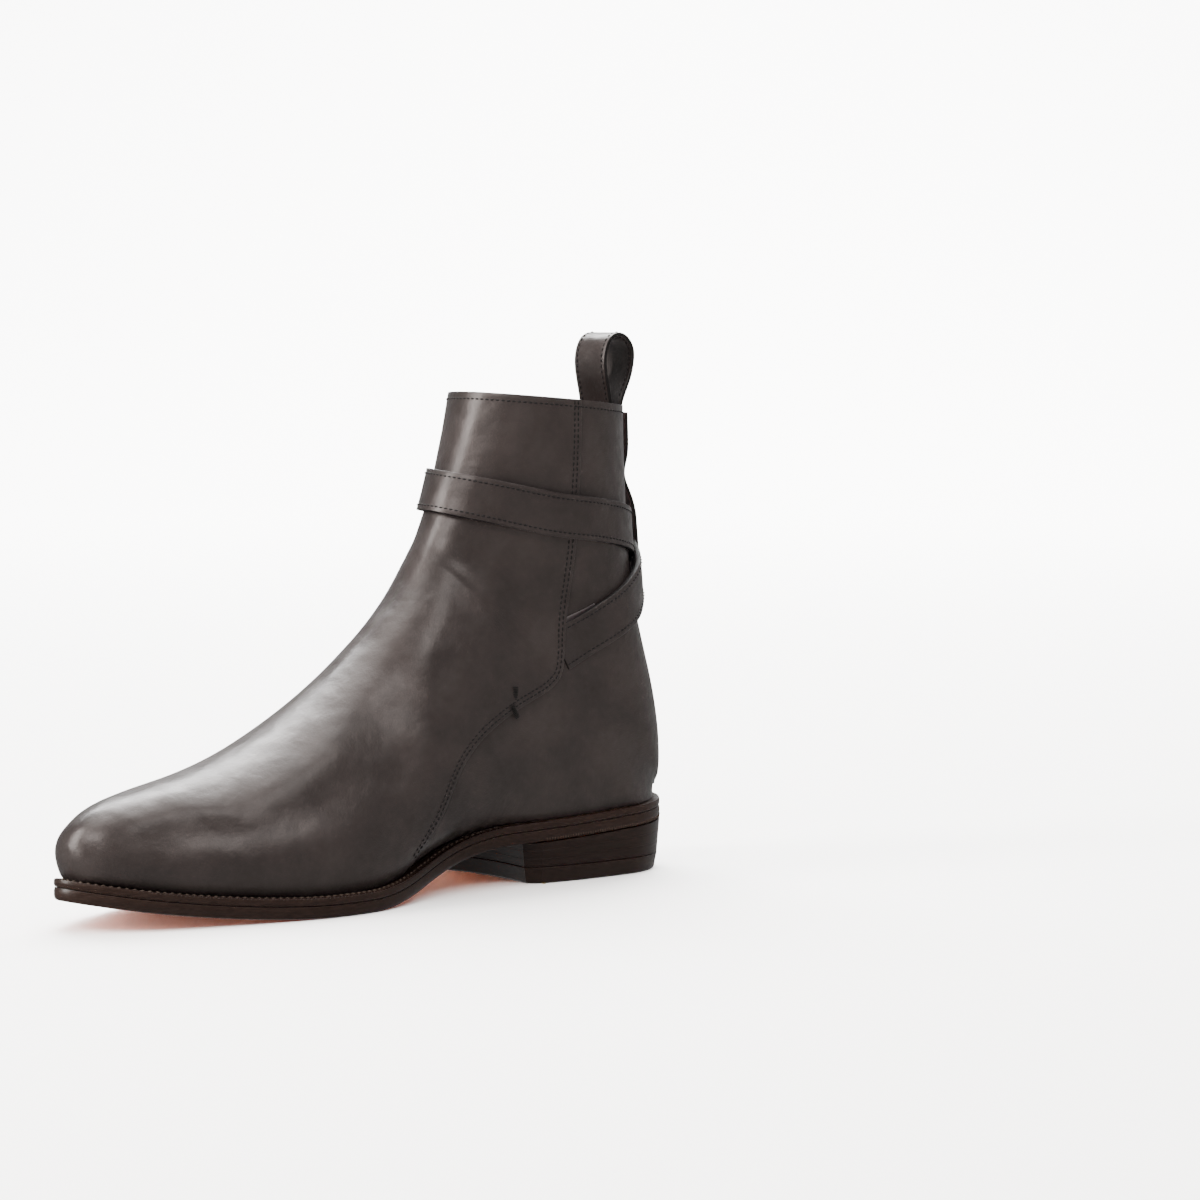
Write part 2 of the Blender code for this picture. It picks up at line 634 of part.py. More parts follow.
def strap_middles(leg, route):
    """Even stations along a strap's middle, their turns, and how far each lies over."""
    start = route[0][0]
    way = 1 if route[-1][0] > start else -1
    turns = [abs(row[0] - start) for row in route]
    up = spline(turns, [row[1] for row in route])

    def spot(turn):
        return leg.around(start + way * turn, float(up(turn)) * BOOT_HEIGHT)

    fine = np.linspace(0.0, turns[-1], FINE_STEPS)
    length = run_length([spot(turn) for turn in fine])
    count = round(length[-1] / STRAP_STEP)
    even = np.interp(np.linspace(0.0, length[-1], count + 1), length, fine)
    over = np.interp(even, turns, [row[2] for row in route])
    return [spot(turn) for turn in even], even, over


def strip(name, leg, middles, halves, lifts, thickness, paint):
    """A strip of leather laid on the upper along its middles."""
    mesh = bmesh.new()
    last = len(middles) - 1
    rows = []
    for i, spot in enumerate(middles):
        run = middles[min(i + 1, last)] - middles[max(i - 1, 0)]
        across = leg.settle(spot, 0.0)[1].cross(run).normalized() * halves[i]
        row = []
        for k in range(STRAP_ACROSS + 1):
            point = spot + across * (2 * k / STRAP_ACROSS - 1)
            row.append(mesh.verts.new(leg.settle(point, lifts[i])[0]))
        rows.append(row)
    for row, following in zip(rows, rows[1:]):
        for k in range(STRAP_ACROSS):
            mesh.faces.new((row[k], row[k + 1], following[k + 1], following[k]))
    mesh.normal_update()
    face = mesh.faces[:][0]
    if face.normal.dot(leg.settle(face.calc_center_median(), 0.0)[1]) < 0:
        bmesh.ops.reverse_faces(mesh, faces=mesh.faces)
    piece = finish(name, mesh, paint)
    solidify(piece, thickness, 1)
    return piece


def round_tip(length, half):
    """Half widths along a strap whose far end is a half circle."""
    left = (length[-1] - length) / half
    return [half * max(round_end(share, 1.0), TIP_NARROWEST) for share in left]


class BuckleSeat:
    """Where the buckle sits on the front strap: x runs to the strap's tip, z out."""

    def __init__(self, leg, middles, length, centre):
        reach = BUCKLE_LONG / 2 - BUCKLE_BAR / 2
        bars = []
        for spot in (centre - reach, centre + reach):
            under = Vector([float(np.interp(spot, length, [m[c] for m in middles]))
                            for c in range(3)])
            bars.append(leg.settle(under, 0.0))
        self.middle = (bars[0][0] + bars[1][0]) / 2
        x = (bars[1][0] - bars[0][0]).normalized()
        normal = bars[0][1] + bars[1][1]
        z = (normal - x * normal.dot(x)).normalized()
        lift = 2 * GAP + 2 * STRAP + STRAP_GAP + BUCKLE_CLEAR + BUCKLE_THICK / 2
        self.frame = Matrix.Translation(self.middle + z * lift) @ Matrix(
            (x, z.cross(x), z)).transposed().to_4x4()


def box(size):
    mesh = bmesh.new()
    bmesh.ops.create_cube(mesh, size=1.0, matrix=Matrix.Diagonal((*size, 1.0)))
    return mesh


def make_buckle(seat, strap, brass):
    """The frame, its prong, and the two holes that the prong needs in the strap."""
    frame = finish("buckle_frame", box((BUCKLE_LONG, BUCKLE_WIDE, BUCKLE_THICK)), brass)
    frame.matrix_world = seat.frame
    window = cutter("buckle_window", box((BUCKLE_LONG - 2 * BUCKLE_BAR,
                                          BUCKLE_WIDE - 2 * BUCKLE_BAR, BUCKLE_THICK * 2)))
    window.matrix_world = seat.frame
    boolean(frame, window, "DIFFERENCE")
    edges = frame.modifiers.new("worn_edges", "BEVEL")
    edges.width = BUCKLE_EDGE
    edges.segments = 2
    for name, along in (("prong_slit", PRONG_SLIT), ("prong_hole", PRONG_EYE)):
        mesh = bmesh.new()
        bmesh.ops.create_cone(mesh, cap_ends=True, segments=16, radius1=PRONG_HOLE / 2,
                              radius2=PRONG_HOLE / 2, depth=BUCKLE_LONG / 2)
        hole = cutter(name, mesh)
        hole.matrix_world = seat.frame @ Matrix.Translation((along * BUCKLE_LONG, 0.0, 0.0))
        boolean(strap, hole, "DIFFERENCE")
    curve = bpy.data.curves.new("buckle_prong", "CURVE")
    curve.dimensions = "3D"
    curve.bevel_depth = PRONG / 2
    curve.bevel_resolution = 2
    curve.use_fill_caps = True
    wire = curve.splines.new("POLY")
    wire.points.add(len(PRONG_PATH) - 1)
    for point, (along, up) in zip(wire.points, PRONG_PATH):
        point.co = (along * BUCKLE_LONG, 0.0, up * BUCKLE_THICK, 1.0)
    curve.materials.append(brass)
    prong = bpy.data.objects.new("buckle_prong", curve)
    prong.matrix_world = seat.frame
    bpy.data.collections[NAME].objects.link(prong)


def make_straps(leg, leather, brass):
    """Both straps and the buckle: the front strap laps over the buckle strap's end."""
    half = STRAP_WIDTH / 2
    step_up = STRAP + STRAP_GAP
    middles, _, over = strap_middles(leg, BUCKLE_STRAP)
    halves = [half] * len(middles)
    strip("strap_buckle", leg, middles, halves, GAP + over * step_up, STRAP, leather)
    middles, turns, over = strap_middles(leg, FRONT_STRAP)
    length = run_length(middles)
    centre = float(np.interp(abs(BUCKLE_ANGLE - FRONT_STRAP[0][0]), turns, length))
    seat = BuckleSeat(leg, middles, length, centre)
    away = np.clip(np.abs(length - centre) / (BUCKLE_LONG * ARCH_SHARE), 0.0, 1.0)
    lifts = GAP + over * step_up + ARCH * np.cos(away * math.pi / 2) ** 2
    lifts += STRAP_SLACK * np.maximum(np.cos(np.radians(FRONT_STRAP[0][0] - turns)), 0) ** 2
    strap = strip("strap_front", leg, middles, round_tip(length, half), lifts, STRAP, leather)
    make_buckle(seat, strap, brass)


def make_stay(leg, leather):
    """The strip up the back seam, over both straps and over the pull loop's end."""
    low = welt_top(FEATHER_BACK)
    seam = float(BACK_UP(len(RIBS) - 1)) * BOOT_HEIGHT - low
    first, last = STAY_ROWS[0][0], STAY_ROWS[-1][0]
    ups = np.linspace(first, last, round((last - first) * seam / STRAP_STEP))
    columns = np.array(STAY_ROWS).T
    middles = [leg.behind(0.0, low + up * seam) for up in ups]
    halves = np.interp(ups, columns[0], columns[1]) * STRAP_WIDTH
    lifts = GAP + np.interp(ups, columns[0], columns[2]) * (STRAP + STRAP_GAP)
    strip("back_stay", leg, middles, halves, lifts, STAY, leather)


def make_loop(leg, leather):
    """The pull loop: a tape from under the stay, over the collar and down inside."""
    top = float(BACK_UP(len(RIBS) - 1)) * BOOT_HEIGHT
    count = len(LOOP_ROWS) - 1
    curves = [spline(range(count + 1), [row[c] for row in LOOP_ROWS]) for c in range(3)]
    mesh = bmesh.new()
    rows = []
    for step in range(count * 2 + 1):
        behind, up, bend = (float(curve(step / 2)) for curve in curves)
        height = top + up * LOOP_HEIGHT
        level = min(height, top - GAP)
        middle = leg.behind(0.0, level)
        row = []
        for k in range(STRAP_ACROSS + 1):
            inner = LOOP_WIDTH * (k / STRAP_ACROSS - 0.5)
            hollow = leg.behind(inner, level).x - middle.x
            spot = Vector((middle.x + behind * LOOP_HEIGHT + bend * hollow, -inner, height))
            row.append(mesh.verts.new(spot))
        rows.append(row)
    for row, following in zip(rows, rows[1:]):
        for k in range(STRAP_ACROSS):
            mesh.faces.new((row[k], row[k + 1], following[k + 1], following[k]))
    solidify(finish("pull_loop", mesh, leather), LOOP, 0)


def clear_scene():
    for thing in list(bpy.data.objects):
        bpy.data.objects.remove(thing, do_unlink=True)
    for name in (NAME, "cutters"):
        group = bpy.data.collections.new(name)
        bpy.context.scene.collection.children.link(group)


def main():
    clear_scene()
    calf = material("grey_calf", (0.055, 0.052, 0.052), 0.38)
    strap_calf = material("grey_calf_straps", (0.050, 0.047, 0.047), 0.40)
    edge = material("dark_sole_edge", (0.016, 0.010, 0.008), 0.34)
    tan = material("tan_sole_leather", (0.48, 0.11, 0.018), 0.28)
    stack = material("dark_heel_stack", (0.014, 0.009, 0.007), 0.34)
    rubber = material("black_rubber", (0.012, 0.012, 0.012), 0.65)
    board = material("insole_leather", (0.42, 0.24, 0.12), 0.60)
    brass = material("brass", (0.55, 0.40, 0.14), 0.30, 1.0)
    plate("outsole", flat_inset(0.0), sole_under, lambda a: sole_under(a) + OUTSOLE, tan)
    make_welt(edge)
    make_heel(stack, tan, rubber)
    lift = OUTSOLE + GAP
    plate("insole", feather_inset(WELT_SHELF + INSOLE_EASE), lambda a: sole_under(a) + lift,
          lambda a: sole_under(a) + lift + INSOLE, board)
    make_upper(calf)
    leg = Leg()
    make_straps(leg, strap_calf, brass)
    make_stay(leg, strap_calf)
    make_loop(leg, strap_calf)


if __name__ == "__main__":
    main()
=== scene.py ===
"""Dressed jodhpur boot: fine leather, stitches, lining, sole finish, buckle and stage.

Lengths are metres and +Z is up. The toe points to -X and the inner side of the foot
faces -Y. A place on the boot is (along, inner, up): along runs forward from the back
of the heel, inner runs towards the inner side, up is the height above the floor.
"""

import math
from functools import lru_cache

import bmesh
import bpy
import numpy as np
from mathutils import Matrix, Vector
from mathutils.bvhtree import BVHTree


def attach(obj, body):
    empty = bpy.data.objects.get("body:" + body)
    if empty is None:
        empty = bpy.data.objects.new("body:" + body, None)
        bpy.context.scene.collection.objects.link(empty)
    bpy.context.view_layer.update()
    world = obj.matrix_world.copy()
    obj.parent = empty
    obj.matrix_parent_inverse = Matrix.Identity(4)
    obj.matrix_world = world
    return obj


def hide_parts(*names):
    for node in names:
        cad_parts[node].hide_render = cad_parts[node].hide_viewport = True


bl_info = {
    "name": "Jodhpur boot",
    "version": (1, 0, 0),
    "blender": (4, 5, 0),
    "location": "3D View > Sidebar > Boot",
    "description": "Dresses the jodhpur boot in leather, stitches, lining and brass",
    "category": "Object",
}

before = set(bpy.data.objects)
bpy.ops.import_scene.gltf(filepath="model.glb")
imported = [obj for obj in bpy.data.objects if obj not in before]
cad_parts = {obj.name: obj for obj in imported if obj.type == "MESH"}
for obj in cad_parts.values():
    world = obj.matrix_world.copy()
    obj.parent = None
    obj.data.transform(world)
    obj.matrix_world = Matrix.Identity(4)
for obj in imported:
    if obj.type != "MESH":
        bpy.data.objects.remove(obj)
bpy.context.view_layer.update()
UP = Vector((0, 0, 1))

# Driving sizes
SOLE_LENGTH = 0.305
BALL_WIDTH = 0.0965
BOOT_HEIGHT = 0.205
HEEL_HEIGHT = 0.0225
TOP_PIECE = 0.007
OUTSOLE = 0.005
WELT = 0.003
TOE_SPRING = 0.012
WALL = 0.0024
PANEL_STEP = 0.0012
PANEL_SINK = 0.00005
INSOLE = 0.004
GAP = 0.0003

# The sole
HEEL_ROUND = 0.036
TOE_ROUND = 0.030
SEAT_SLOPE = 0.056
SEAT_END = 0.31
BALL_FLAT = (0.605, 0.66)
HEEL_BREAST = 0.0895
BREAST_HOLLOW = 0.0045
CORNER_CUT = 0.006
HEEL_TAPER = 0.0012
FEATHER_INSET = (0.003, 0.007)
INSET_BLEND = (0.25, 0.5)
WELT_SHELF = 0.0022
INSOLE_EASE = 0.0014
ORIGIN_ALONG = 0.040
BREAST_STEPS = 24
RUBBER_SHARES = (0.17, 0.51)

# The front panel: its rear edge on each side, from the welt up to the collar, as
# shares of the sole length and of the boot height.
SEAM_INNER = (
    (0.545, 0.000), (0.502, 0.105), (0.470, 0.163), (0.437, 0.242), (0.397, 0.303),
    (0.362, 0.335), (0.329, 0.358), (0.278, 0.387), (0.246, 0.415), (0.232, 0.465),
    (0.226, 0.534), (0.217, 0.631), (0.210, 0.760), (0.205, 0.880), (0.203, 1.05))
SEAM_OUTER = (
    (0.540, 0.000), (0.555, 0.105), (0.550, 0.240), (0.508, 0.322), (0.464, 0.397),
    (0.419, 0.415), (0.381, 0.432), (0.331, 0.458), (0.273, 0.471), (0.262, 0.541),
    (0.249, 0.613), (0.240, 0.677), (0.228, 0.740), (0.212, 0.830), (0.203, 1.05))
SEAM_POINTS = 500

# How far behind its edge the front panel's step lifts a strap: from nothing to in full
PANEL_EASE = (0.014, 0.005)

# Straps. A route round the leg has, for each station, the angle round the leg in
# degrees (0 is forward, 90 the inner side), the height as a share of the boot
# height, and how many other straps it lies over.
STRAP = 0.0022
STRAP_WIDTH = 0.018
STRAP_GAP = 0.0006
STRAP_SLACK = 0.0009
FINE_STEPS = 400
TIP_NARROWEST = 0.12
TIP_STITCHED = 1.3
LEG_AXIS = 0.060
ROUTE_COLUMNS = ("angle", "up", "over")
FRONT_STRAP = (
    (-51, 0.498, 0), (-76, 0.519, 0), (-100, 0.538, 0), (-122, 0.575, 0), (-144, 0.615, 0),
    (-180, 0.673, 0), (-216, 0.713, 0), (-260, 0.739, 0), (-303, 0.756, 0), (-336, 0.780, 0),
    (-360, 0.795, 0), (-378, 0.797, 0), (-392, 0.793, 0.15), (-404, 0.789, 0.9),
    (-412, 0.786, 1), (-432, 0.777, 1), (-468, 0.756, 1), (-486, 0.743, 1), (-497, 0.735, 1))
BUCKLE_STRAP = (
    (68, 0.474, 0), (88, 0.500, 0), (113, 0.537, 0), (128, 0.561, 0), (140, 0.583, 0.3),
    (150, 0.605, 1), (164, 0.636, 1), (180, 0.673, 1), (196, 0.705, 1), (207, 0.7215, 1),
    (217, 0.7345, 0.1), (232, 0.749, 0), (252, 0.765, 0), (272, 0.779, 0), (292, 0.788, 0))

# Back stay: up is a share of the back seam, half the half width as a share of the
# strap's width, and lift how many straps or tapes it passes over.
STAY = 0.0014
STAY_COLUMNS = ("up", "half", "lift")
STAY_ROWS = (
    (0.018, 0.72, 0.15), (0.085, 0.72, 0.1), (0.183, 0.72, 0.0), (0.367, 0.70, 0.0),
    (0.459, 0.69, 0.0), (0.495, 0.685, 1.0), (0.550, 0.68, 2.0), (0.636, 0.67, 2.0),
    (0.734, 0.66, 2.0), (0.789, 0.655, 1.0), (0.820, 0.65, 0.0), (0.838, 0.64, 0.0),
    (0.869, 0.635, 1.05), (0.942, 0.63, 1.05), (0.985, 0.62, 1.05))

# Pull loop: behind is how far the tape's middle lies behind the upper's back, up
# its height above the collar's back, and bend how much it follows the leg's curve.
LOOP = 0.0016
LOOP_WIDTH = 0.019
LOOP_COLUMNS = ("behind", "up", "bend")
LOOP_HEIGHT = 0.030
LOOP_ROWS = (
    (0.042, -0.64, 1.0), (0.042, -0.36, 1.0), (0.045, -0.12, 1.0), (0.10, 0.13, 0.8),
    (0.21, 0.40, 0.4), (0.27, 0.66, 0.2), (0.25, 0.85, 0.1), (0.13, 0.99, 0.0),
    (-0.03, 1.03, 0.0), (-0.18, 0.95, 0.0), (-0.26, 0.76, 0.1), (-0.26, 0.54, 0.2),
    (-0.20, 0.30, 0.5), (-0.14, 0.08, 0.9), (-0.125, -0.14, 1.0), (-0.125, -0.36, 1.0),
    (-0.125, -0.55, 1.0))

# Buckle
BUCKLE_LONG = 0.0205
BUCKLE_WIDE = 0.0255
BUCKLE_BAR = 0.0027
BUCKLE_THICK = 0.0028
BUCKLE_ANGLE = -437
BUCKLE_EDGE = 0.0006
BUCKLE_CLEAR = 0.0009
PRONG = 0.0017
PRONG_HOLE = 0.0038
PRONG_SLIT = -0.234
PRONG_EYE = 0.156
PRONG_PATH = (
    (-0.52, 0.91), (-0.35, 0.91), (-0.244, 0.43), (-0.220, -0.56), (-0.160, -0.92),
    (0.045, -0.92), (0.141, -0.18), (0.19, 0.68), (0.34, 0.93))
ARCH = 0.0034
ARCH_SHARE = 0.39

# Outline of the sole: share of the length, then the half widths on the inner and
# outer side as shares of the ball width. The round ends are put on afterwards.
OUTLINE = (
    (0.00, 0.373, 0.378), (0.131, 0.373, 0.378), (0.197, 0.366, 0.392),
    (0.262, 0.338, 0.408), (0.328, 0.290, 0.420), (0.393, 0.270, 0.437),
    (0.459, 0.318, 0.474), (0.525, 0.403, 0.511), (0.590, 0.464, 0.528),
    (0.639, 0.480, 0.521), (0.705, 0.460, 0.486), (0.770, 0.412, 0.424),
    (0.836, 0.352, 0.345), (0.902, 0.292, 0.258), (0.951, 0.246, 0.195),
    (1.00, 0.207, 0.160))

# Ribs of the upper, from the front of the toe round under the heel and up to the
# collar. Each rib runs from a point of the ridge down to a point of the lower path.
# ridge_along and low_along are shares of the sole length, ridge_up and low_up of
# the boot height; low_up is None where the rib lands on the feather line. shift is
# how far the ridge lies to the inner side. inner and outer are the fullest half
# widths. These three are shares of the ball width. peak is how far along the rib, from
# its lower end, it is fullest. front and back say how blunt the rib is at the ridge
# and at its lower end, 1 being round and less being fuller.
RIB_COLUMNS = ("ridge_along", "ridge_up", "low_along", "low_up",
               "shift", "inner", "outer", "peak", "front", "back")
RIBS = (
    (0.9875, 0.163, 0.9875, 0.144, 0.004, 0.035, 0.030, 0.50, 0.95, 0.95),
    (0.9813, 0.183, 0.9836, 0.120, 0.008, 0.085, 0.072, 0.46, 0.92, 0.95),
    (0.9689, 0.201, 0.9770, None, 0.012, 0.132, 0.103, 0.42, 0.88, 0.95),
    (0.9459, 0.2215, 0.9590, None, 0.016, 0.182, 0.144, 0.39, 0.86, 0.95),
    (0.9115, 0.2386, 0.9213, None, 0.020, 0.237, 0.200, 0.37, 0.87, 0.95),
    (0.8640, 0.2530, 0.8670, None, 0.022, 0.291, 0.276, 0.36, 0.89, 0.95),
    (0.8080, 0.2690, 0.8100, None, 0.022, 0.345, 0.345, 0.35, 0.91, 0.95),
    (0.7490, 0.2930, 0.7500, None, 0.024, 0.393, 0.400, 0.34, 0.93, 0.95),
    (0.6920, 0.3250, 0.6900, None, 0.027, 0.424, 0.446, 0.33, 0.95, 0.95),
    (0.6360, 0.3670, 0.6300, None, 0.030, 0.433, 0.470, 0.32, 0.97, 0.95),
    (0.5820, 0.4180, 0.5700, None, 0.030, 0.420, 0.466, 0.31, 0.98, 0.95),
    (0.5295, 0.4750, 0.5100, None, 0.029, 0.396, 0.448, 0.31, 0.98, 0.95),
    (0.4852, 0.5330, 0.4450, None, 0.026, 0.373, 0.425, 0.31, 0.97, 0.95),
    (0.4547, 0.5796, 0.3700, None, 0.020, 0.360, 0.403, 0.33, 0.95, 0.95),
    (0.4350, 0.6150, 0.2850, None, 0.014, 0.353, 0.386, 0.38, 0.93, 0.95),
    (0.4213, 0.6430, 0.2000, None, 0.008, 0.350, 0.373, 0.45, 0.92, 0.97),
    (0.4108, 0.6660, 0.1150, None, 0.004, 0.350, 0.365, 0.48, 0.91, 1.00),
    (0.4026, 0.6850, 0.0480, None, 0.000, 0.350, 0.360, 0.38, 0.90, 1.02),
    (0.3955, 0.7034, 0.0100, None, 0.000, 0.350, 0.358, 0.33, 0.90, 1.00),
    (0.3870, 0.7290, 0.0020, 0.190, 0.000, 0.350, 0.356, 0.32, 0.90, 1.00),
    (0.3770, 0.7610, 0.0055, 0.282, 0.000, 0.347, 0.352, 0.33, 0.90, 1.02),
    (0.3660, 0.7985, 0.0200, 0.390, 0.000, 0.343, 0.347, 0.36, 0.91, 1.04),
    (0.3550, 0.8400, 0.0390, 0.505, 0.000, 0.338, 0.341, 0.40, 0.92, 1.04),
    (0.3450, 0.8810, 0.0510, 0.620, 0.000, 0.334, 0.336, 0.43, 0.93, 1.02),
    (0.3360, 0.9220, 0.0575, 0.735, 0.000, 0.331, 0.332, 0.45, 0.94, 0.99),
    (0.3280, 0.9610, 0.0610, 0.850, 0.000, 0.328, 0.329, 0.47, 0.95, 0.96),
    (0.3205, 1.0000, 0.0630, 0.966, 0.000, 0.326, 0.326, 0.48, 0.95, 0.95))
TOE_ROW = 2
HEEL_ROW = 18
FULLEST_LOW = 0.97
CROWD_ROWS = 4

# The welt, sole stitches and heel. The ridges pressed into the welt start at a share of
# the sole's length. A neighbour is how far off a line's direction is read.
FUDGE_START = 0.33
FUDGE_PITCH = 0.0017
FUDGE_LONG = 0.0019
FUDGE_THICK = 0.00075
FUDGE_INSET = 0.0010
FUDGE_SINK = 0.0001
NEIGHBOUR = 0.001
CHANNEL_INSET = 0.0065
CHANNEL_START = 0.31
SOLE_STITCH_SINK = 0.00040
SOLE_STITCH = {"pitch": 0.0034, "long": 0.0034, "thick": 0.0010}
SOLE_STITCH_SLANT = 0.22
WELT_STITCH_INSET = 0.0034
WELT_STITCH = {"pitch": 0.0030, "long": 0.0021, "thick": 0.0008}
LIFT_GROOVE = 0.00008
PIN = 0.00085
PIN_SPREAD = 0.0034
PIN_SINK = 0.00020
PIN_DEPTH = 0.0005
PIN_SIDES = 14
PINS_IN_GROUP = 3
# Along and inner in millimetres, and how far the group is turned in degrees
PIN_GROUPS = ((77.3, -29.8, 10), (79.6, 27.0, 60), (49.8, -28.0, 35), (52.8, 27.9, 20),
              (27.7, 25.2, 80))
TICK_HEIGHT = 0.0010
TICK_PITCH = 0.0013
TICK_LONG = 0.0016
TICK_THICK = 0.0005
TICK_INSET = 0.00004
TICK_END = HEEL_BREAST - 1.3 * CORNER_CUT
HEEL_MIDDLE = 0.045

# Edges in section, as inset and height above the piece's underside
OUTSOLE_EDGE = (
    (CHANNEL_INSET, 0.0), (0.0016, 0.0), (0.0007, 0.00025), (0.0002, 0.0009), (0.0, 0.0018),
    (0.0, OUTSOLE - 0.0012), (0.00035, OUTSOLE))
WELT_EDGE = (
    (0.0004, 0.0), (0.0, 0.0007), (0.0, WELT - 0.0009), (0.0003, WELT), (0.0012, WELT),
    (0.0021, WELT))
INSOLE_EDGE = (
    (0.0003, 0.0), (0.0, 0.0006), (0.0, INSOLE - 0.0010), (0.0006, INSOLE - 0.0002),
    (0.0014, INSOLE))
TOP_PIECE_EDGE = (
    (2 * HEEL_TAPER + 0.0007, 0.0), (2 * HEEL_TAPER, 0.0006), (HEEL_TAPER, TOP_PIECE - 0.0003),
    (HEEL_TAPER + 0.0003, TOP_PIECE))

# The heel's lifts: up each one, its share and how much of the groove's depth it has there
LIFTS = 3
LIFT_EDGE = ((0.0, 1.0), (0.03, 0.0), (0.97, 0.0))
STACK_TOP_INSET = 0.0003

# Seams: insets of the two rows, the tacks of each side by along and up in millimetres
# and turn in degrees, and the heights that the rows run between
SEAM_ROWS = (0.0016, 0.0034)
TACKS = {1: ((100.3, 73.5, 60), (99.0, 80.5, 95)), -1: ((116.3, 88.5, 60),)}
TACK_COUNT = 9
TACK_PITCH = 0.0007
TACK_WIDE = 0.0028
TACK_THICK = 0.0006
TACK_LIFT = 0.0002
SEAM_RUN = (0.085, 0.985)
BESIDE_LEG = 0.08
COLLAR_INSET = 0.0030
STRAP_STITCH_INSET = 0.0021
STAY_STITCH_INSET = 0.0016
LOOP_STITCH_INSET = 0.0018

# Fine rows of the pull loop for each of its own, and its rows at each end that have no
# stitches, because they lie under the stay or inside the shaft.
LOOP_FINE = 6
LOOP_HIDDEN = 3

# A stitch: where along it each ring lies, how wide it is there, and how far it dips
STITCH_PROFILE = ((-0.5, 0.35), (-0.3, 0.9), (0.0, 1.05), (0.3, 0.9), (0.5, 0.35))
STITCH_SIDES = 6
STITCH_DIP = 0.8

# The fine buckle. Each end of the prong has its share of the full width, and how fast
# it widens from there.
BUCKLE_CORNER = 0.0020
CORNER_STEPS = 7
BAR_STEPS = 4
PRONG_STEPS = 70
PRONG_SIDES = 12
HOLE_SIDES = 24
PRONG_ENDS = ((0.35, 9), (0.45, 7))

# How far the straps' starts go down under the front panel, the run in which they
# rise, and the strip of lining that shows above the buckle strap there.
STRAP_DIVE = 0.0030
DIVE_RUN = (0.005, 0.024)
SLOT_RUN = (0.001, 0.024)
SLOT_WIDE = 0.0026
SLOT_LIFT = 0.0003
SLOT_THICK = 0.0004
SLOT_SHARES = (-0.5, 0.0, 0.5, 1.0)

# Camera and light. A lamp has its name, place, size, watts and colour, and the point
# that it is aimed at where that isn't the boot.
CAMERA_SPOT = (-1.1185, -1.2385, 0.2330)
CAMERA_YAW = 47.458
CAMERA_PITCH = -4.034
CAMERA_LENS = 117.08
BACKDROP_START = 3.6
BACKDROP_ROUND = 1.0
BACKDROP_STEPS = 16
BACKDROP_SIDE = 6.0
BACKDROP_HEIGHT = 5.0
BACKDROP_FRONT = (-4.5, -1.0, 0.8, BACKDROP_START)
LAMP_AIM = (-0.06, 0.0, 0.09)
SENSOR = 36.0
CAMERA_FAR = 50.0
WORLD_LIGHT = 0.50
LIGHTS = (
    ("left_softbox", (-1.45, 0.50, 0.80), (0.55, 1.5), 72.0, (1.0, 0.96, 0.93)),
    ("front_softbox", (-1.35, -0.55, 1.30), (0.8, 0.6), 26.0, (1.0, 0.96, 0.94)),
    ("instep_softbox", (0.05, -1.25, 1.35), (0.8, 0.5), 14.0, (1.0, 0.96, 0.94)),
    ("top_softbox", (0.10, 0.20, 1.75), (1.8, 1.8), 100.0, (1.0, 0.98, 0.96)),
    ("far_softbox", (1.65, 1.80, 2.4), (3.4, 2.4), 430.0, (1.0, 1.0, 1.0), (1.65, 1.80, 0.0)),
    ("wall_softbox", (2.0, 2.2, 3.2), (5.0, 1.2), 800.0, (1.0, 1.0, 1.0), (3.2, 3.5, 0.5)))

# The fine surfaces: steps between two ribs and down a rib, steps across and along a
# strip, rounded edges, joined points, sharp angles in degrees and rounds of smoothing
ROW_STEPS = 6
SIDE_COLUMNS = 34
FINE_ACROSS = 8
FINE_STEP = 0.002
EDGE_ROUND = 0.00045
STRIP_ROUND = 0.0003
PANEL_ROUND = 0.00018
PANEL_MERGE = 0.00025
SAME_POINT = 1e-6
HOLE_SHARP = 45
BEVEL_FROM = 50
NORMAL_SOFTENING = 6
STRIP_SOFTENING = 4
OVER_SOFTENING = 3
LIFT_SOFTENING = 2
SEAM_HALVINGS = 18

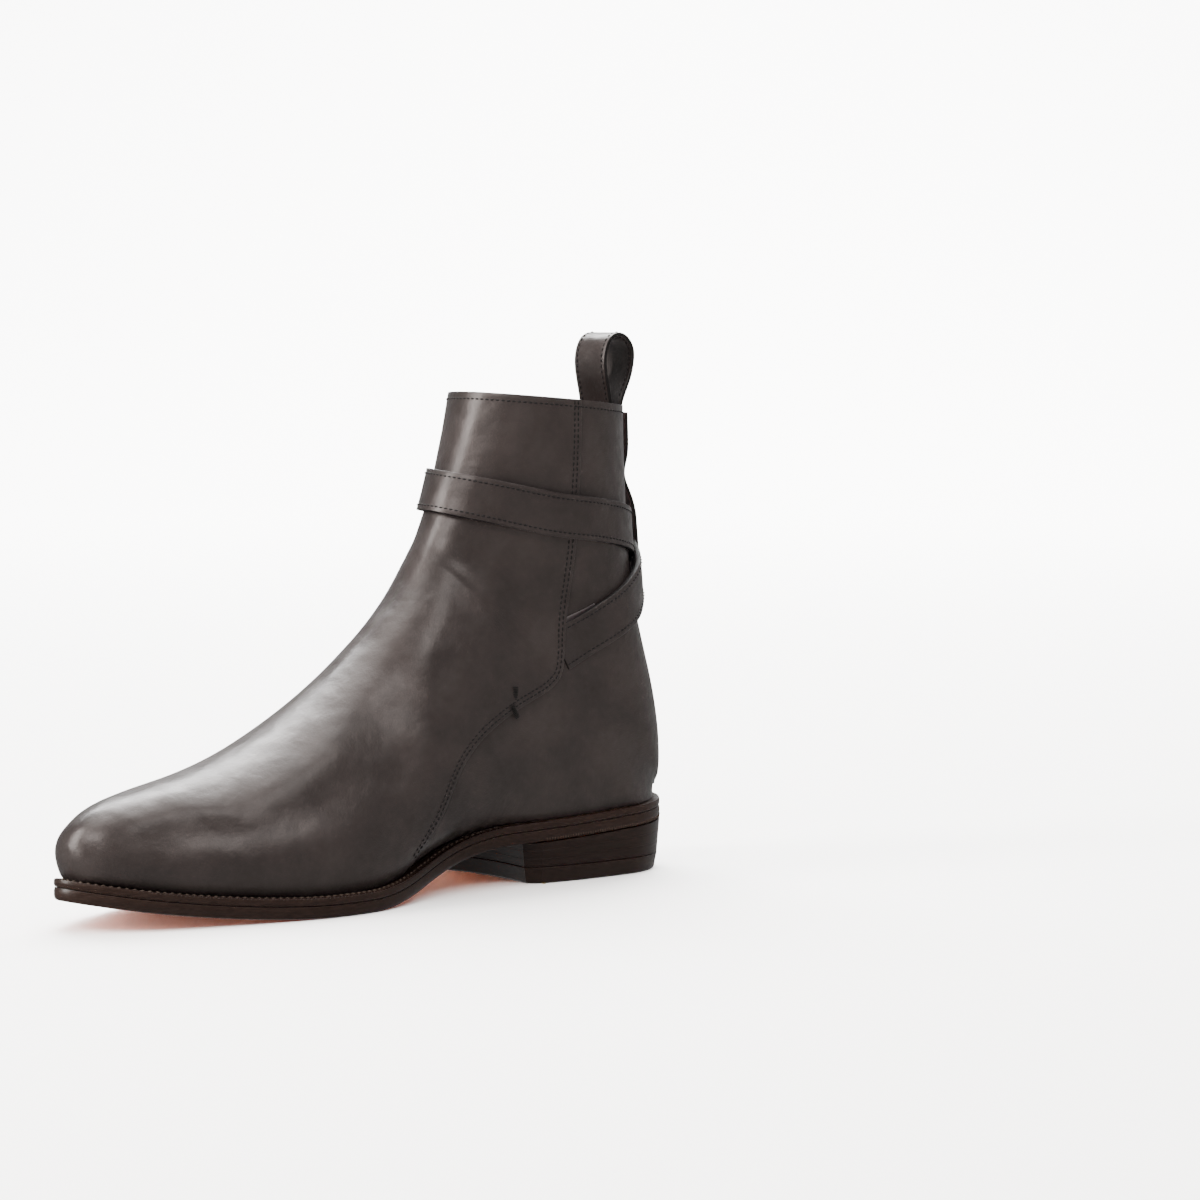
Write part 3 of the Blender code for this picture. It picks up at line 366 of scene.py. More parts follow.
# Soft folds of the upper: side (1 inner, -1 outer, 0 both), the middle
# as shares of the sole length and boot height, the way the fold runs in degrees above
# level, its half length and half width, and how far it rises or sinks, in metres.
FOLDS = (
    (1, 0.345, 0.690, 120, 0.012, 0.0085, 0.0005),
    (1, 0.460, 0.480, 112, 0.017, 0.0080, 0.0011),
    (1, 0.415, 0.575, 104, 0.014, 0.0070, 0.0006),
    (1, 0.505, 0.440, 130, 0.020, 0.0110, -0.0009),
    (1, 0.665, 0.275, 154, 0.032, 0.0090, 0.0013),
    (1, 0.545, 0.360, 150, 0.021, 0.0090, -0.0013),
    (1, 0.487, 0.300, 130, 0.013, 0.0080, 0.0011),
    (1, 0.530, 0.262, 140, 0.016, 0.0070, -0.0010),
    (1, 0.553, 0.212, 140, 0.017, 0.0080, 0.0010),
    (1, 0.430, 0.360, 120, 0.014, 0.0080, 0.0008),
    (1, 0.735, 0.145, 170, 0.021, 0.0060, 0.0005),
    (1, 0.655, 0.152, 175, 0.016, 0.0060, 0.0006),
    (1, 0.700, 0.205, 165, 0.034, 0.0090, -0.0010),
    (1, 0.812, 0.212, 17, 0.017, 0.0050, 0.0008),
    (1, 0.890, 0.215, 157, 0.015, 0.0045, 0.0006),
    (1, 0.835, 0.175, 175, 0.023, 0.0060, -0.0008),
    (-1, 0.460, 0.480, 118, 0.020, 0.0085, -0.0011),
    (-1, 0.500, 0.400, 135, 0.020, 0.0080, 0.0010),
    (-1, 0.340, 0.400, 112, 0.022, 0.0080, 0.0010),
    (-1, 0.300, 0.330, 100, 0.022, 0.0080, -0.0008),
    (-1, 0.620, 0.300, 155, 0.028, 0.0090, 0.0010),
    (-1, 0.640, 0.215, 165, 0.026, 0.0080, -0.0008),
    (-1, 0.810, 0.215, 12, 0.018, 0.0055, 0.0006),
    (0, 0.090, 0.330, 90, 0.022, 0.0100, -0.0004))
FOLD_RIDGE_EASE = 0.012
FOLD_REACH = 3


def spline(knots, values):
    """Return the natural cubic curve through the given values as a function."""
    knots = np.asarray(knots, float)
    values = np.asarray(values, float)
    gaps = np.diff(knots)
    slopes = np.diff(values) / gaps
    count = len(knots)
    matrix = np.eye(count)
    right = np.zeros(count)
    for i in range(1, count - 1):
        matrix[i, i - 1:i + 2] = gaps[i - 1], 2 * (gaps[i - 1] + gaps[i]), gaps[i]
        right[i] = 6 * (slopes[i] - slopes[i - 1])
    bend = np.linalg.solve(matrix, right)

    def curve(x):
        i = np.clip(np.searchsorted(knots, x) - 1, 0, count - 2)
        near = (knots[i + 1] - x) / gaps[i]
        far = (x - knots[i]) / gaps[i]
        cubic = (near ** 3 - near) * bend[i] + (far ** 3 - far) * bend[i + 1]
        return near * values[i] + far * values[i + 1] + cubic * gaps[i] ** 2 / 6

    return curve


def column(table, columns, name):
    """One named column of a table."""
    return [row[columns.index(name)] for row in table]


def ease(x, start, end):
    """Rise smoothly from 0 at start to 1 at end."""
    t = min(max((x - start) / (end - start), 0.0), 1.0)
    return t * t * (3 - 2 * t)


def place(along, inner, up):
    """Turn a place on the boot into world coordinates."""
    return Vector((ORIGIN_ALONG - along, -inner, up))


def heading(along, inner, up):
    """Turn a direction on the boot into a world direction."""
    return place(along, inner, up) - place(0.0, 0.0, 0.0)


def steady(amount):
    """An inset or height that is the same all along the boot."""
    return lambda along: amount


def sole_under(along):
    """Height of the outsole's underside: heel seat, waist, flat ball, toe spring."""
    seat_end = SEAT_END * SOLE_LENGTH
    ball_start = BALL_FLAT[0] * SOLE_LENGTH
    ball_end = BALL_FLAT[1] * SOLE_LENGTH
    if along <= seat_end:
        return HEEL_HEIGHT - SEAT_SLOPE * along
    if along < ball_start:
        run = ball_start - seat_end
        t = (along - seat_end) / run
        level = HEEL_HEIGHT - SEAT_SLOPE * seat_end
        return (2 * t ** 3 - 3 * t ** 2 + 1) * level - (t ** 3 - 2 * t ** 2 + t) * run * SEAT_SLOPE
    if along <= ball_end:
        return 0.0
    return TOE_SPRING * ((along - ball_end) / (SOLE_LENGTH - ball_end)) ** 1.8


def welt_top(along):
    """Height of the welt's upper side."""
    return sole_under(along) + OUTSOLE + GAP + WELT


OUTLINE_INNER = spline([row[0] for row in OUTLINE], [row[1] for row in OUTLINE])
OUTLINE_OUTER = spline([row[0] for row in OUTLINE], [row[2] for row in OUTLINE])


def round_end(distance, radius):
    """Share of the full width at a distance from a round end."""
    rest = 1 - min(distance, radius) / radius
    return math.sqrt(max(1 - rest * rest, 0.0))


def half_width(along, side):
    """Half width of the sole: side 1 is the inner side, -1 the outer side."""
    curve = OUTLINE_INNER if side > 0 else OUTLINE_OUTER
    heel = round_end(along, HEEL_ROUND)
    toe = round_end(SOLE_LENGTH - along, TOE_ROUND)
    return float(curve(along / SOLE_LENGTH)) * BALL_WIDTH * heel * toe


def stations(arc_steps, middle_steps):
    """Places along the sole, close together in its round ends."""
    turn = [math.pi / 2 * i / arc_steps for i in range(arc_steps)]
    heel = [HEEL_ROUND * (1 - math.cos(t)) for t in turn]
    toe = [SOLE_LENGTH - TOE_ROUND * (1 - math.cos(t)) for t in reversed(turn)]
    start, end = HEEL_ROUND, SOLE_LENGTH - TOE_ROUND
    middle = [start + (end - start) * i / middle_steps for i in range(middle_steps + 1)]
    return heel + middle + toe


def edge_line(side, inset, arc_steps=6, middle_steps=18):
    """One side of the sole's outline, moved in by inset(along), heel to toe."""
    line = [(a, side * half_width(a, side)) for a in stations(arc_steps, middle_steps)]
    moved = []
    for i, (along, inner) in enumerate(line):
        before = line[i - 1] if i else (line[1][0], -line[1][1])
        after = line[i + 1] if i + 1 < len(line) else (line[-2][0], -line[-2][1])
        step = Vector((after[0] - before[0], after[1] - before[1])).normalized()
        normal = Vector((step.y, -step.x)) * side
        amount = inset(along)
        moved.append((along + normal.x * amount, inner + normal.y * amount))
    return moved


def feather_inset(extra=0.0):
    """Inset of the feather line, less at the heel than in the forefoot."""
    def inset(along):
        share = ease(along, INSET_BLEND[0] * SOLE_LENGTH, INSET_BLEND[1] * SOLE_LENGTH)
        return FEATHER_INSET[0] + (FEATHER_INSET[1] - FEATHER_INSET[0]) * share + extra
    return inset


FEATHER = {side: np.array(edge_line(side, feather_inset(), 24, 60)) for side in (1, -1)}


def feather_half(along, side):
    """Half width of the feather line, where the upper meets the welt."""
    line = FEATHER[side]
    return float(np.interp(along, line[:, 0], side * line[:, 1]))


RIB_CURVES = {label: spline(range(len(RIBS)), column(RIBS, RIB_COLUMNS, label))
              for label in RIB_COLUMNS if label != "low_up"}
FEATHER_BACK = float(FEATHER[1][0, 0])
FEATHER_FRONT = float(FEATHER[1][-1, 0])
LOW_UPS = column(RIBS, RIB_COLUMNS, "low_up")
BACK_UP = spline(range(HEEL_ROW, len(RIBS)),
                 [(welt_top(FEATHER_BACK) + GAP) / BOOT_HEIGHT] + LOW_UPS[HEEL_ROW + 1:])
TOE_UP = spline(range(TOE_ROW + 1),
                LOW_UPS[:TOE_ROW] + [(welt_top(FEATHER_FRONT) + GAP) / BOOT_HEIGHT])


def rib_low(u):
    """Lower end of rib u: its along, its up, and whether it is on the feather line."""
    if u <= TOE_ROW:
        pole = RIBS[0][RIB_COLUMNS.index("low_along")] * SOLE_LENGTH
        share = u / TOE_ROW
        along = pole + (FEATHER_FRONT - pole) * share ** 2
        return along, float(TOE_UP(u)) * BOOT_HEIGHT, False
    along = float(RIB_CURVES["low_along"](u)) * SOLE_LENGTH
    if u < HEEL_ROW:
        along = min(max(along, FEATHER_BACK), FEATHER_FRONT)
        return along, welt_top(along) + GAP, True
    return along, float(BACK_UP(u)) * BOOT_HEIGHT, False


def rib_reach(u, v):
    """How far down rib u the step v lies, 1 being its lower end and 0 the ridge.

    The steps crowd at the ridge, and at the lower end where the rib closes there.
    """
    rows_in = min(u - TOE_ROW, HEEL_ROW - u)
    crowd = 1 - ease(rows_in, 0, CROWD_ROWS)
    both_ends = (1 + math.cos(math.pi * v)) / 2
    ridge_only = 1 - math.sin(math.pi * v / 2)
    return crowd * both_ends + (1 - crowd) * ridge_only


def collar_back():
    """Height of the collar at the back of the leg."""
    return float(BACK_UP(len(RIBS) - 1)) * BOOT_HEIGHT


@lru_cache(maxsize=None)
def rib(u):
    """The shape values of rib u."""
    return {label: float(curve(u)) for label, curve in RIB_CURVES.items()}


@lru_cache(maxsize=None)
def rib_start(u, side):
    """Lower end of rib u, its ridge shift, and the share of a rib that is cut away."""
    row = rib(u)
    along, up, on_feather = rib_low(u)
    fullest = row["inner" if side > 0 else "outer"] * BALL_WIDTH
    skew = math.log(row["peak"]) / math.log(0.5)
    shift = row["shift"] * BALL_WIDTH
    start = 0.0
    if on_feather:
        ratio = (feather_half(along, side) - side * shift) / (fullest - side * shift)
        angle = math.asin(min(max(ratio, 0.0), FULLEST_LOW) ** (1 / (row["back"] * skew)))
        start = ((1 - math.cos(angle)) / 2) ** skew
    return along, up, on_feather, fullest, skew, start


def upper_point(u, v, side):
    """Point of the upper's outer face: v is 0 at the lower path and 1 at the ridge."""
    row = rib(u)
    along, up, on_feather, fullest, skew, start = rib_start(u, side)
    ridge = np.array([row["ridge_along"] * SOLE_LENGTH, row["ridge_up"] * BOOT_HEIGHT])
    low = np.array([along, up])
    shift = row["shift"] * BALL_WIDTH * (1 if on_feather else ease(v, 0, 1))
    low_power = row["back"] * skew
    reach = rib_reach(u, v)
    share = 1 - reach * (1 - start)
    angle = math.acos(1 - 2 * share ** (1 / skew))
    power = low_power + (row["front"] - low_power) * ease(1 - reach, 0, 1)
    spot = ridge + (low - ridge) * reach
    swell = max(math.sin(angle), 0.0) ** power
    return place(spot[0], shift * (1 - swell) + side * fullest * swell, spot[1])


def smooth_line(points, count):
    """An even, smooth curve through points, as an array."""
    points = np.asarray(points, float)
    steps = np.linalg.norm(np.diff(points, axis=0), axis=1)
    knots = np.concatenate([[0.0], np.cumsum(steps)])
    curves = [spline(knots, points[:, c]) for c in range(points.shape[1])]
    places = np.linspace(0.0, knots[-1], count)
    return np.array([[float(curve(t)) for curve in curves] for t in places])


SEAM_LINES = {}
for seam_side, seam_table in ((1, SEAM_INNER), (-1, SEAM_OUTER)):
    line = smooth_line([(a * SOLE_LENGTH, z * BOOT_HEIGHT) for a, z in seam_table], SEAM_POINTS)
    line[:, 1] = np.maximum.accumulate(line[:, 1] + np.arange(SEAM_POINTS) * 1e-9)
    SEAM_LINES[seam_side] = line


def seam_along(up, side):
    """How far forward the front panel's rear edge lies at a height."""
    line = SEAM_LINES[side]
    return float(np.interp(up, line[:, 1], line[:, 0]))


def fold_rise(point):
    """How far the folds move the leather out at a point."""
    along, inner, up = ORIGIN_ALONG - point[0], -point[1], point[2]
    total = 0.0
    for side, a, z, way, half_long, half_wide, rise in FOLDS:
        if side * inner < 0:
            continue
        turn = math.radians(way)
        da, dz = along - a * SOLE_LENGTH, up - z * BOOT_HEIGHT
        t = (da * math.cos(turn) + dz * math.sin(turn)) / half_long
        s = (dz * math.cos(turn) - da * math.sin(turn)) / half_wide
        if abs(t) < FOLD_REACH and abs(s) < FOLD_REACH:
            near_ridge = ease(abs(inner), 0.0, FOLD_RIDGE_EASE) if side else 1.0
            total += rise * math.exp(-t * t - s * s) * near_ridge
    return total


def normals_of(grid):
    """Normals of a grid of points, rows by columns."""
    across = np.gradient(grid, axis=1)
    down = np.gradient(grid, axis=0)
    normal = np.cross(down, across)
    length = np.linalg.norm(normal, axis=2, keepdims=True)
    return normal / np.maximum(length, 1e-12)


def face_out_grid(grid, normals, middle):
    """Turn a grid's normals away from a middle point."""
    if float(((grid - middle) * normals).sum()) < 0:
        return -normals
    return normals


def upper_middle():
    """A point well inside the upper, which its leather faces away from."""
    return place(0.3 * SOLE_LENGTH, 0.0, 0.35 * BOOT_HEIGHT)


def skin_grid():
    """The whole upper as rows of ribs from one side to the other."""
    rows = []
    for step in range((len(RIBS) - 1) * ROW_STEPS + 1):
        u = step / ROW_STEPS
        inner = [upper_point(u, i / SIDE_COLUMNS, 1) for i in range(SIDE_COLUMNS + 1)]
        outer = [upper_point(u, i / SIDE_COLUMNS, -1) for i in range(SIDE_COLUMNS)]
        rows.append(inner + outer[::-1])
    grid = np.array(rows)
    normals = face_out_grid(grid, normals_of(grid), np.array(upper_middle()))
    rise = np.apply_along_axis(fold_rise, 2, grid)
    return grid + normals * rise[:, :, None]


def ahead_of_seam(point):
    """How far a point lies ahead of the front panel's rear edge."""
    side = 1 if point[1] < 0 else -1
    return ORIGIN_ALONG - point[0] - seam_along(point[2], side)


def crossing(near, far):
    """Where the seam cuts the line between a point ahead of it and one behind it."""
    for _ in range(SEAM_HALVINGS):
        half = (near + far) / 2
        if ahead_of_seam(half) >= 0:
            near = half
        else:
            far = half
    return (near + far) / 2


def panel_mesh(grid):
    """The part of the upper's grid that lies ahead of the seam, cut along the seam."""
    rows, columns = grid.shape[:2]
    ahead = np.apply_along_axis(ahead_of_seam, 2, grid)
    verts, faces, known = [], [], {}

    def vert(key, make):
        if key not in known:
            known[key] = len(verts)
            verts.append(make())
        return known[key]

    def clipped(corners):
        face = []
        for k, corner in enumerate(corners):
            other = corners[(k + 1) % len(corners)]
            if ahead[corner] >= 0:
                face.append(vert(corner, lambda: grid[corner]))
            if (ahead[corner] >= 0) != (ahead[other] >= 0):
                first, second = (corner, other) if ahead[corner] >= 0 else (other, corner)
                face.append(vert((first, second), lambda: crossing(grid[first], grid[second])))
        if len(face) > 2:
            faces.append(tuple(face))

    for i in range(rows - 1):
        for j in range(columns - 1):
            clipped(((i, j), (i + 1, j), (i + 1, j + 1), (i, j + 1)))
    pole = vert("pole", lambda: grid[0].mean(axis=0))
    for j in range(columns - 1):
        faces.append((pole, known[0, j], known[0, j + 1]))
    return verts, faces


def linked(data, finishes, smooth):
    """An object in the scene for a mesh, with its materials and smooth shading."""
    for finish in finishes:
        data.materials.append(finish)
    data.shade_smooth()
    data.set_sharp_from_angle(angle=math.radians(smooth))
    piece = bpy.data.objects.new(data.name, data)
    bpy.context.scene.collection.objects.link(piece)
    return piece


def mesh_object(name, verts, faces, finishes, smooth=40):
    """A piece from its points and faces."""
    data = bpy.data.meshes.new(name)
    data.from_pydata([tuple(v) for v in verts], [], faces)
    return linked(data, finishes, smooth)


def clean_surface(piece, merge, facing=None):
    """Join a surface's points that lie together, and turn it over if it faces inwards.

    facing gives each face's share in how far the surface faces outwards.
    """
    mesh = bmesh.new()
    mesh.from_mesh(piece.data)
    bmesh.ops.remove_doubles(mesh, verts=mesh.verts, dist=merge)
    mesh.normal_update()
    if facing and sum(facing(face) for face in mesh.faces) < 0:
        bmesh.ops.reverse_faces(mesh, faces=mesh.faces)
    mesh.to_mesh(piece.data)
    mesh.free()
    return piece


def away_from(middle):
    """How far a face looks away from a point, by its area."""
    return lambda face: (face.calc_center_median() - middle).dot(face.normal) * face.calc_area()


def grid_object(name, grid, finishes, facing=None, fan=False):
    """A surface through a grid of points, closed by a fan at its first row if wanted."""
    rows, columns = grid.shape[:2]
    verts = grid.reshape(-1, 3)
    faces = []
    for i in range(rows - 1):
        for j in range(columns - 1):
            a = i * columns + j
            faces.append((a, a + columns, a + columns + 1, a + 1))
    if fan:
        verts = np.vstack([verts, grid[0].mean(axis=0)])
        pole = len(verts) - 1
        faces += [(pole, j, j + 1) for j in range(columns - 1)]
    return clean_surface(mesh_object(name, verts, faces, finishes, smooth=60),
                         SAME_POINT, facing)


def thicken(piece, thickness, offset, edge_round=EDGE_ROUND, inner=2, rim=1):
    """Give a surface its thickness and rounded edges, with its own edge and back."""
    wall = piece.modifiers.new("thickness", "SOLIDIFY")
    wall.thickness = thickness
    wall.offset = offset
    wall.use_even_offset = True
    wall.material_offset = inner
    wall.material_offset_rim = rim
    rounds = piece.modifiers.new("rounded_edges", "BEVEL")
    rounds.width = edge_round
    rounds.segments = 2
    rounds.limit_method = "ANGLE"
    rounds.angle_limit = math.radians(BEVEL_FROM)
    rounds.use_clamp_overlap = True
    return piece


class Leather:
    """A surface of the leg that straps, stitches and edges can be set on."""

    def __init__(self, piece, panel_step=0.0):
        mesh = bmesh.new()
        mesh.from_mesh(piece.data)
        mesh.normal_update()
        self.tree = BVHTree.FromBMesh(mesh)
        mesh.free()
        self.panel_step = panel_step

    def around(self, angle, up):
        """The point at an angle round the leg, 0 being forward and 90 the inner side."""
        turn = math.radians(angle)
        out = heading(math.cos(turn), math.sin(turn), 0.0)
        return self.tree.ray_cast(place(LEG_AXIS, 0.0, up), out)[0]

    def behind(self, inner, up):
        """The point straight behind the leg's axis."""
        return self.tree.ray_cast(place(LEG_AXIS, inner, up), heading(-1.0, 0.0, 0.0))[0]

    def beside(self, along, side, up):
        """The point and normal met from the inner side, 1, or the outer side, -1."""
        start = place(along, side * BESIDE_LEG, up)
        return self.tree.ray_cast(start, heading(0, -side, 0))[:2]

    def settle(self, point, lift):
        """The nearest point, lifted off the leather and the front panel's step."""
        spot, normal = self.tree.find_nearest(point)[:2]
        step = 0.0
        if self.panel_step:
            side = 1 if spot.y < 0 else -1
            edge = seam_along(spot.z, side)
            along = ORIGIN_ALONG - spot.x
            step = self.panel_step * ease(along, edge - PANEL_EASE[0], edge - PANEL_EASE[1])
        return spot + normal * (lift + step), normal


def run_length(points):
    """How far along a line each of its points lies."""
    steps = [(Vector(b) - Vector(a)).length for a, b in zip(points, points[1:])]
    return np.concatenate([[0.0], np.cumsum(steps)])


def spot_at(run, length, points):
    """The point of a line at a run along it, from each point's length and place."""
    return Vector([float(np.interp(run, length, points[:, c])) for c in range(3)])


def strap_middles(leg, route):
    """Even stations along a strap's middle, their turns, and how far each lies over."""
    angles = column(route, ROUTE_COLUMNS, "angle")
    start = angles[0]
    way = 1 if angles[-1] > start else -1
    turns = [abs(angle - start) for angle in angles]
    up = spline(turns, column(route, ROUTE_COLUMNS, "up"))

    def spot(turn):
        return leg.around(start + way * turn, float(up(turn)) * BOOT_HEIGHT)

    fine = np.linspace(0.0, turns[-1], FINE_STEPS)
    length = run_length([spot(turn) for turn in fine])
    count = round(length[-1] / FINE_STEP)
    even = np.interp(np.linspace(0.0, length[-1], count + 1), length, fine)
    over = np.interp(even, turns, column(route, ROUTE_COLUMNS, "over"))
    return [spot(turn) for turn in even], even, soften(over, OVER_SOFTENING)


def soften(values, times):
    """Average each value with its neighbours a few times."""
    values = np.array(values, float)
    for _ in range(times):
        padded = np.concatenate([[values[0]], values, [values[-1]]])
        values = (padded[:-2] + 2 * padded[1:-1] + padded[2:]) / 4
    return values


def strip_grid(leg, middles, halves, lifts):
    """Points of a strip laid on the leg, smoothed along the strip."""
    last = len(middles) - 1
    raw = np.array([leg.settle(spot, 0.0)[1] for spot in middles])
    for _ in range(NORMAL_SOFTENING):
        padded = np.vstack([raw[:1], raw, raw[-1:]])
        raw = padded[:-2] + 2 * padded[1:-1] + padded[2:]
        raw /= np.linalg.norm(raw, axis=1, keepdims=True)
    grid = []
    for i, spot in enumerate(middles):
        run = middles[min(i + 1, last)] - middles[max(i - 1, 0)]
        across = Vector(raw[i]).cross(run).normalized() * halves[i]
        grid.append([leg.settle(spot + across * (2 * k / FINE_ACROSS - 1), lifts[i])[0]
                     for k in range(FINE_ACROSS + 1)])
    grid = np.array(grid)
    for _ in range(STRIP_SOFTENING):
        padded = np.vstack([2 * grid[:1] - grid[1:2], grid, 2 * grid[-1:] - grid[-2:-1]])
        grid = (padded[:-2] + 2 * padded[1:-1] + padded[2:]) / 4
    return grid


def stitch_row(line, normals, pitch, long, thick, slant=0.0, lift=0.0001):
    """Stitches along a line: the middle, run, normal, length and thickness of each."""
    length = run_length(line)
    count = max(int(length[-1] / pitch), 1)
    spots = []
    places = np.array([list(p) for p in line])
    ways = np.array([list(n) for n in normals])
    for i in range(count):
        t = (i + 0.5) / count * length[-1]
        near = max(t - long / 2, 0.0)
        far = min(t + long / 2, length[-1])
        run = (spot_at(far, length, places) - spot_at(near, length, places)).normalized()
        normal = spot_at(t, length, ways).normalized()
        run = (run + normal.cross(run) * slant).normalized()
        spots.append((spot_at(t, length, places) + normal * lift, run, normal, long, thick))
    return spots


def stitch_object(name, spots, thread):
    """All stitches of a piece as one mesh of small rounded threads."""
    verts, faces = [], []
    rings, sides = len(STITCH_PROFILE), STITCH_SIDES
    for middle, run, normal, long, thick in spots:
        across = normal.cross(run)
        base = len(verts)
        for along, wide in STITCH_PROFILE:
            sink = -abs(along) * thick * STITCH_DIP
            for k in range(sides):
                turn = 2 * math.pi * k / sides
                verts.append(middle + run * along * long
                             + across * (math.cos(turn) * wide * thick / 2)
                             + normal * (math.sin(turn) * wide * thick / 2 + sink))
        for r in range(rings - 1):
            for k in range(sides):
                a = base + r * sides + k
                b = base + r * sides + (k + 1) % sides
                faces.append((a, b, b + sides, a + sides))
        faces.append(tuple(base + k for k in range(sides))[::-1])
        faces.append(tuple(base + (rings - 1) * sides + k for k in range(sides)))
    return mesh_object(name, verts, faces, [thread])


def inset_line(grid, edge, distance):
    """A line on a grid at a distance in from its first long edge, 0, or its last, 1."""
    rows = grid[:, ::-1] if edge else grid
    return [spot_at(distance, run_length(row), row) for row in rows]


def heel_outline():
    """Outline of the heel: round behind, a cut inner corner and a hollow breast."""
    sides = {}
    for side in (1, -1):
        corner = HEEL_BREAST - (CORNER_CUT if side > 0 else 0.0)
        line = [(along, inner) for along, inner in edge_line(side, steady(0.0), 18, 60)
                if along < corner - CORNER_CUT / 4]
        sides[side] = line + [(corner, side * half_width(corner, side))]
    start = sides[1][-1][1] - CORNER_CUT
    end = sides[-1][-1][1]
    breast = []
    for i in range(BREAST_STEPS):
        share = i / BREAST_STEPS
        hollow = BREAST_HOLLOW * math.sin(math.pi * share)
        breast.append((HEEL_BREAST - hollow, start + (end - start) * share))
    return sides[1] + breast + sides[-1][:0:-1]


def shrink(outline, amount):
    """Move an outline inwards by an amount, each corner along its own bisector."""
    moved = []
    for i, spot in enumerate(outline):
        before = Vector(spot) - Vector(outline[i - 1])
        after = Vector(outline[(i + 1) % len(outline)]) - Vector(spot)
        normals = [Vector((step.y, -step.x)).normalized() for step in (before, after)]
        bisector = (normals[0] + normals[1]).normalized()
        moved.append(tuple(Vector(spot) + bisector * amount / max(bisector.dot(normals[0]), 0.5)))
    return moved


def closed_line(inset):
    """The sole's outline moved in by inset, once round."""
    inner = edge_line(1, inset, 20, 90)
    outer = edge_line(-1, inset, 20, 90)
    return inner + outer[-2:0:-1]


def bridge(mesh, near, far, slot=0):
    """Faces between two closed loops with as many points each."""
    for i in range(len(near)):
        j = (i + 1) % len(near)
        face = mesh.faces.new((near[i], near[j], far[j], far[i]))
        face.material_index = slot


def face_out(mesh):
    """Turn the faces of a closed solid outwards."""
    bmesh.ops.recalc_face_normals(mesh, faces=mesh.faces)
    if mesh.calc_volume(signed=True) < 0:
        bmesh.ops.reverse_faces(mesh, faces=mesh.faces)


def solid_object(name, mesh, finishes, smooth=40):
    """A piece from a closed solid."""
    face_out(mesh)
    data = bpy.data.meshes.new(name)
    mesh.to_mesh(data)
    mesh.free()
    return linked(data, finishes, smooth)


def plate_mesh(layers, cap_slots=(1, 1), first_ring=0):
    """A plate through closed lines of the sole's outline, with the slot of each cap."""
    mesh = bmesh.new()
    loops = [[mesh.verts.new(spot) for spot in layer] for layer in layers]
    for k, (near, far) in enumerate(zip(loops, loops[1:])):
        bridge(mesh, near, far, 0 if k else first_ring)
    half = len(loops[0]) // 2
    for loop, slot in ((loops[0], cap_slots[0]), (loops[-1], cap_slots[1])):
        for i in range(half):
            across = [loop[i], loop[i + 1], loop[-i - 1], loop[-i]]
            face = mesh.faces.new([v for k, v in enumerate(across) if v not in across[:k]])
            face.material_index = slot
    return mesh


def make_outsole(finishes):
    """The outsole: dark rounded sides, a shallow bevel and a polished underside."""
    layers = [[place(a, b, sole_under(a) + lift) for a, b in closed_line(steady(inset))]
              for inset, lift in OUTSOLE_EDGE]
    return solid_object("outsole_leather", plate_mesh(layers, (1, 0), 2), finishes, smooth=28)


def make_welt(finish):
    """The welt: a ring with a rounded edge."""
    mesh = bmesh.new()
    rings = [(steady(inset), lift) for inset, lift in WELT_EDGE]
    rings += [(feather_inset(WELT_SHELF), lift) for lift in (WELT, 0.0)]
    loops = [[mesh.verts.new(place(a, b, sole_under(a) + OUTSOLE + GAP + lift))
              for a, b in closed_line(inset)] for inset, lift in rings]
    for near, far in zip(loops, loops[1:] + loops[:1]):
        bridge(mesh, near, far)
    return solid_object("welt_leather", mesh, [finish], smooth=28)


def fore_edge(side, inset, start):
    """The sole's edge on one side, moved in, from a share of its length to the toe."""
    return [(a, b) for a, b in edge_line(side, steady(inset), 40, 200)
            if a > start * SOLE_LENGTH]


def fudge_ridges(finish):
    """Small upright ridges pressed round the top edge of the welt in the forefoot."""
    spots = []
    for side in (1, -1):
        points = np.array([place(a, b, welt_top(a) - FUDGE_SINK)
                           for a, b in fore_edge(side, FUDGE_INSET, FUDGE_START)])
        length = run_length(points)
        count = int(length[-1] / FUDGE_PITCH)
        for i in range(count + 1):
            t = i * length[-1] / count
            ahead = spot_at(min(t + NEIGHBOUR, length[-1]), length, points)
            behind = spot_at(max(t - NEIGHBOUR, 0), length, points)
            across = (ahead - behind).normalized().cross(UP).normalized()
            spots.append((spot_at(t, length, points), across, UP, FUDGE_LONG, FUDGE_THICK))
    return stitch_object("welt_ridges", spots, finish)


def sole_stitches(thread):
    """The rope-like row of stitches set in the underside of the outsole."""
    spots = []
    for side in (1, -1):
        points = [place(a, b, sole_under(a) + SOLE_STITCH_SINK)
                  for a, b in fore_edge(side, CHANNEL_INSET, CHANNEL_START)]
        spots += stitch_row(points, [-UP] * len(points), **SOLE_STITCH,
                            slant=SOLE_STITCH_SLANT * side, lift=0.0)
    return stitch_object("sole_stitches", spots, thread)


def welt_stitches(thread):
    """The row of stitches on top of the welt in the forefoot."""
    spots = []
    for side in (1, -1):
        points = [place(a, b, welt_top(a))
                  for a, b in fore_edge(side, WELT_STITCH_INSET, FUDGE_START)]
        spots += stitch_row(points, [UP] * len(points), **WELT_STITCH)
    return stitch_object("welt_stitches", spots, thread)


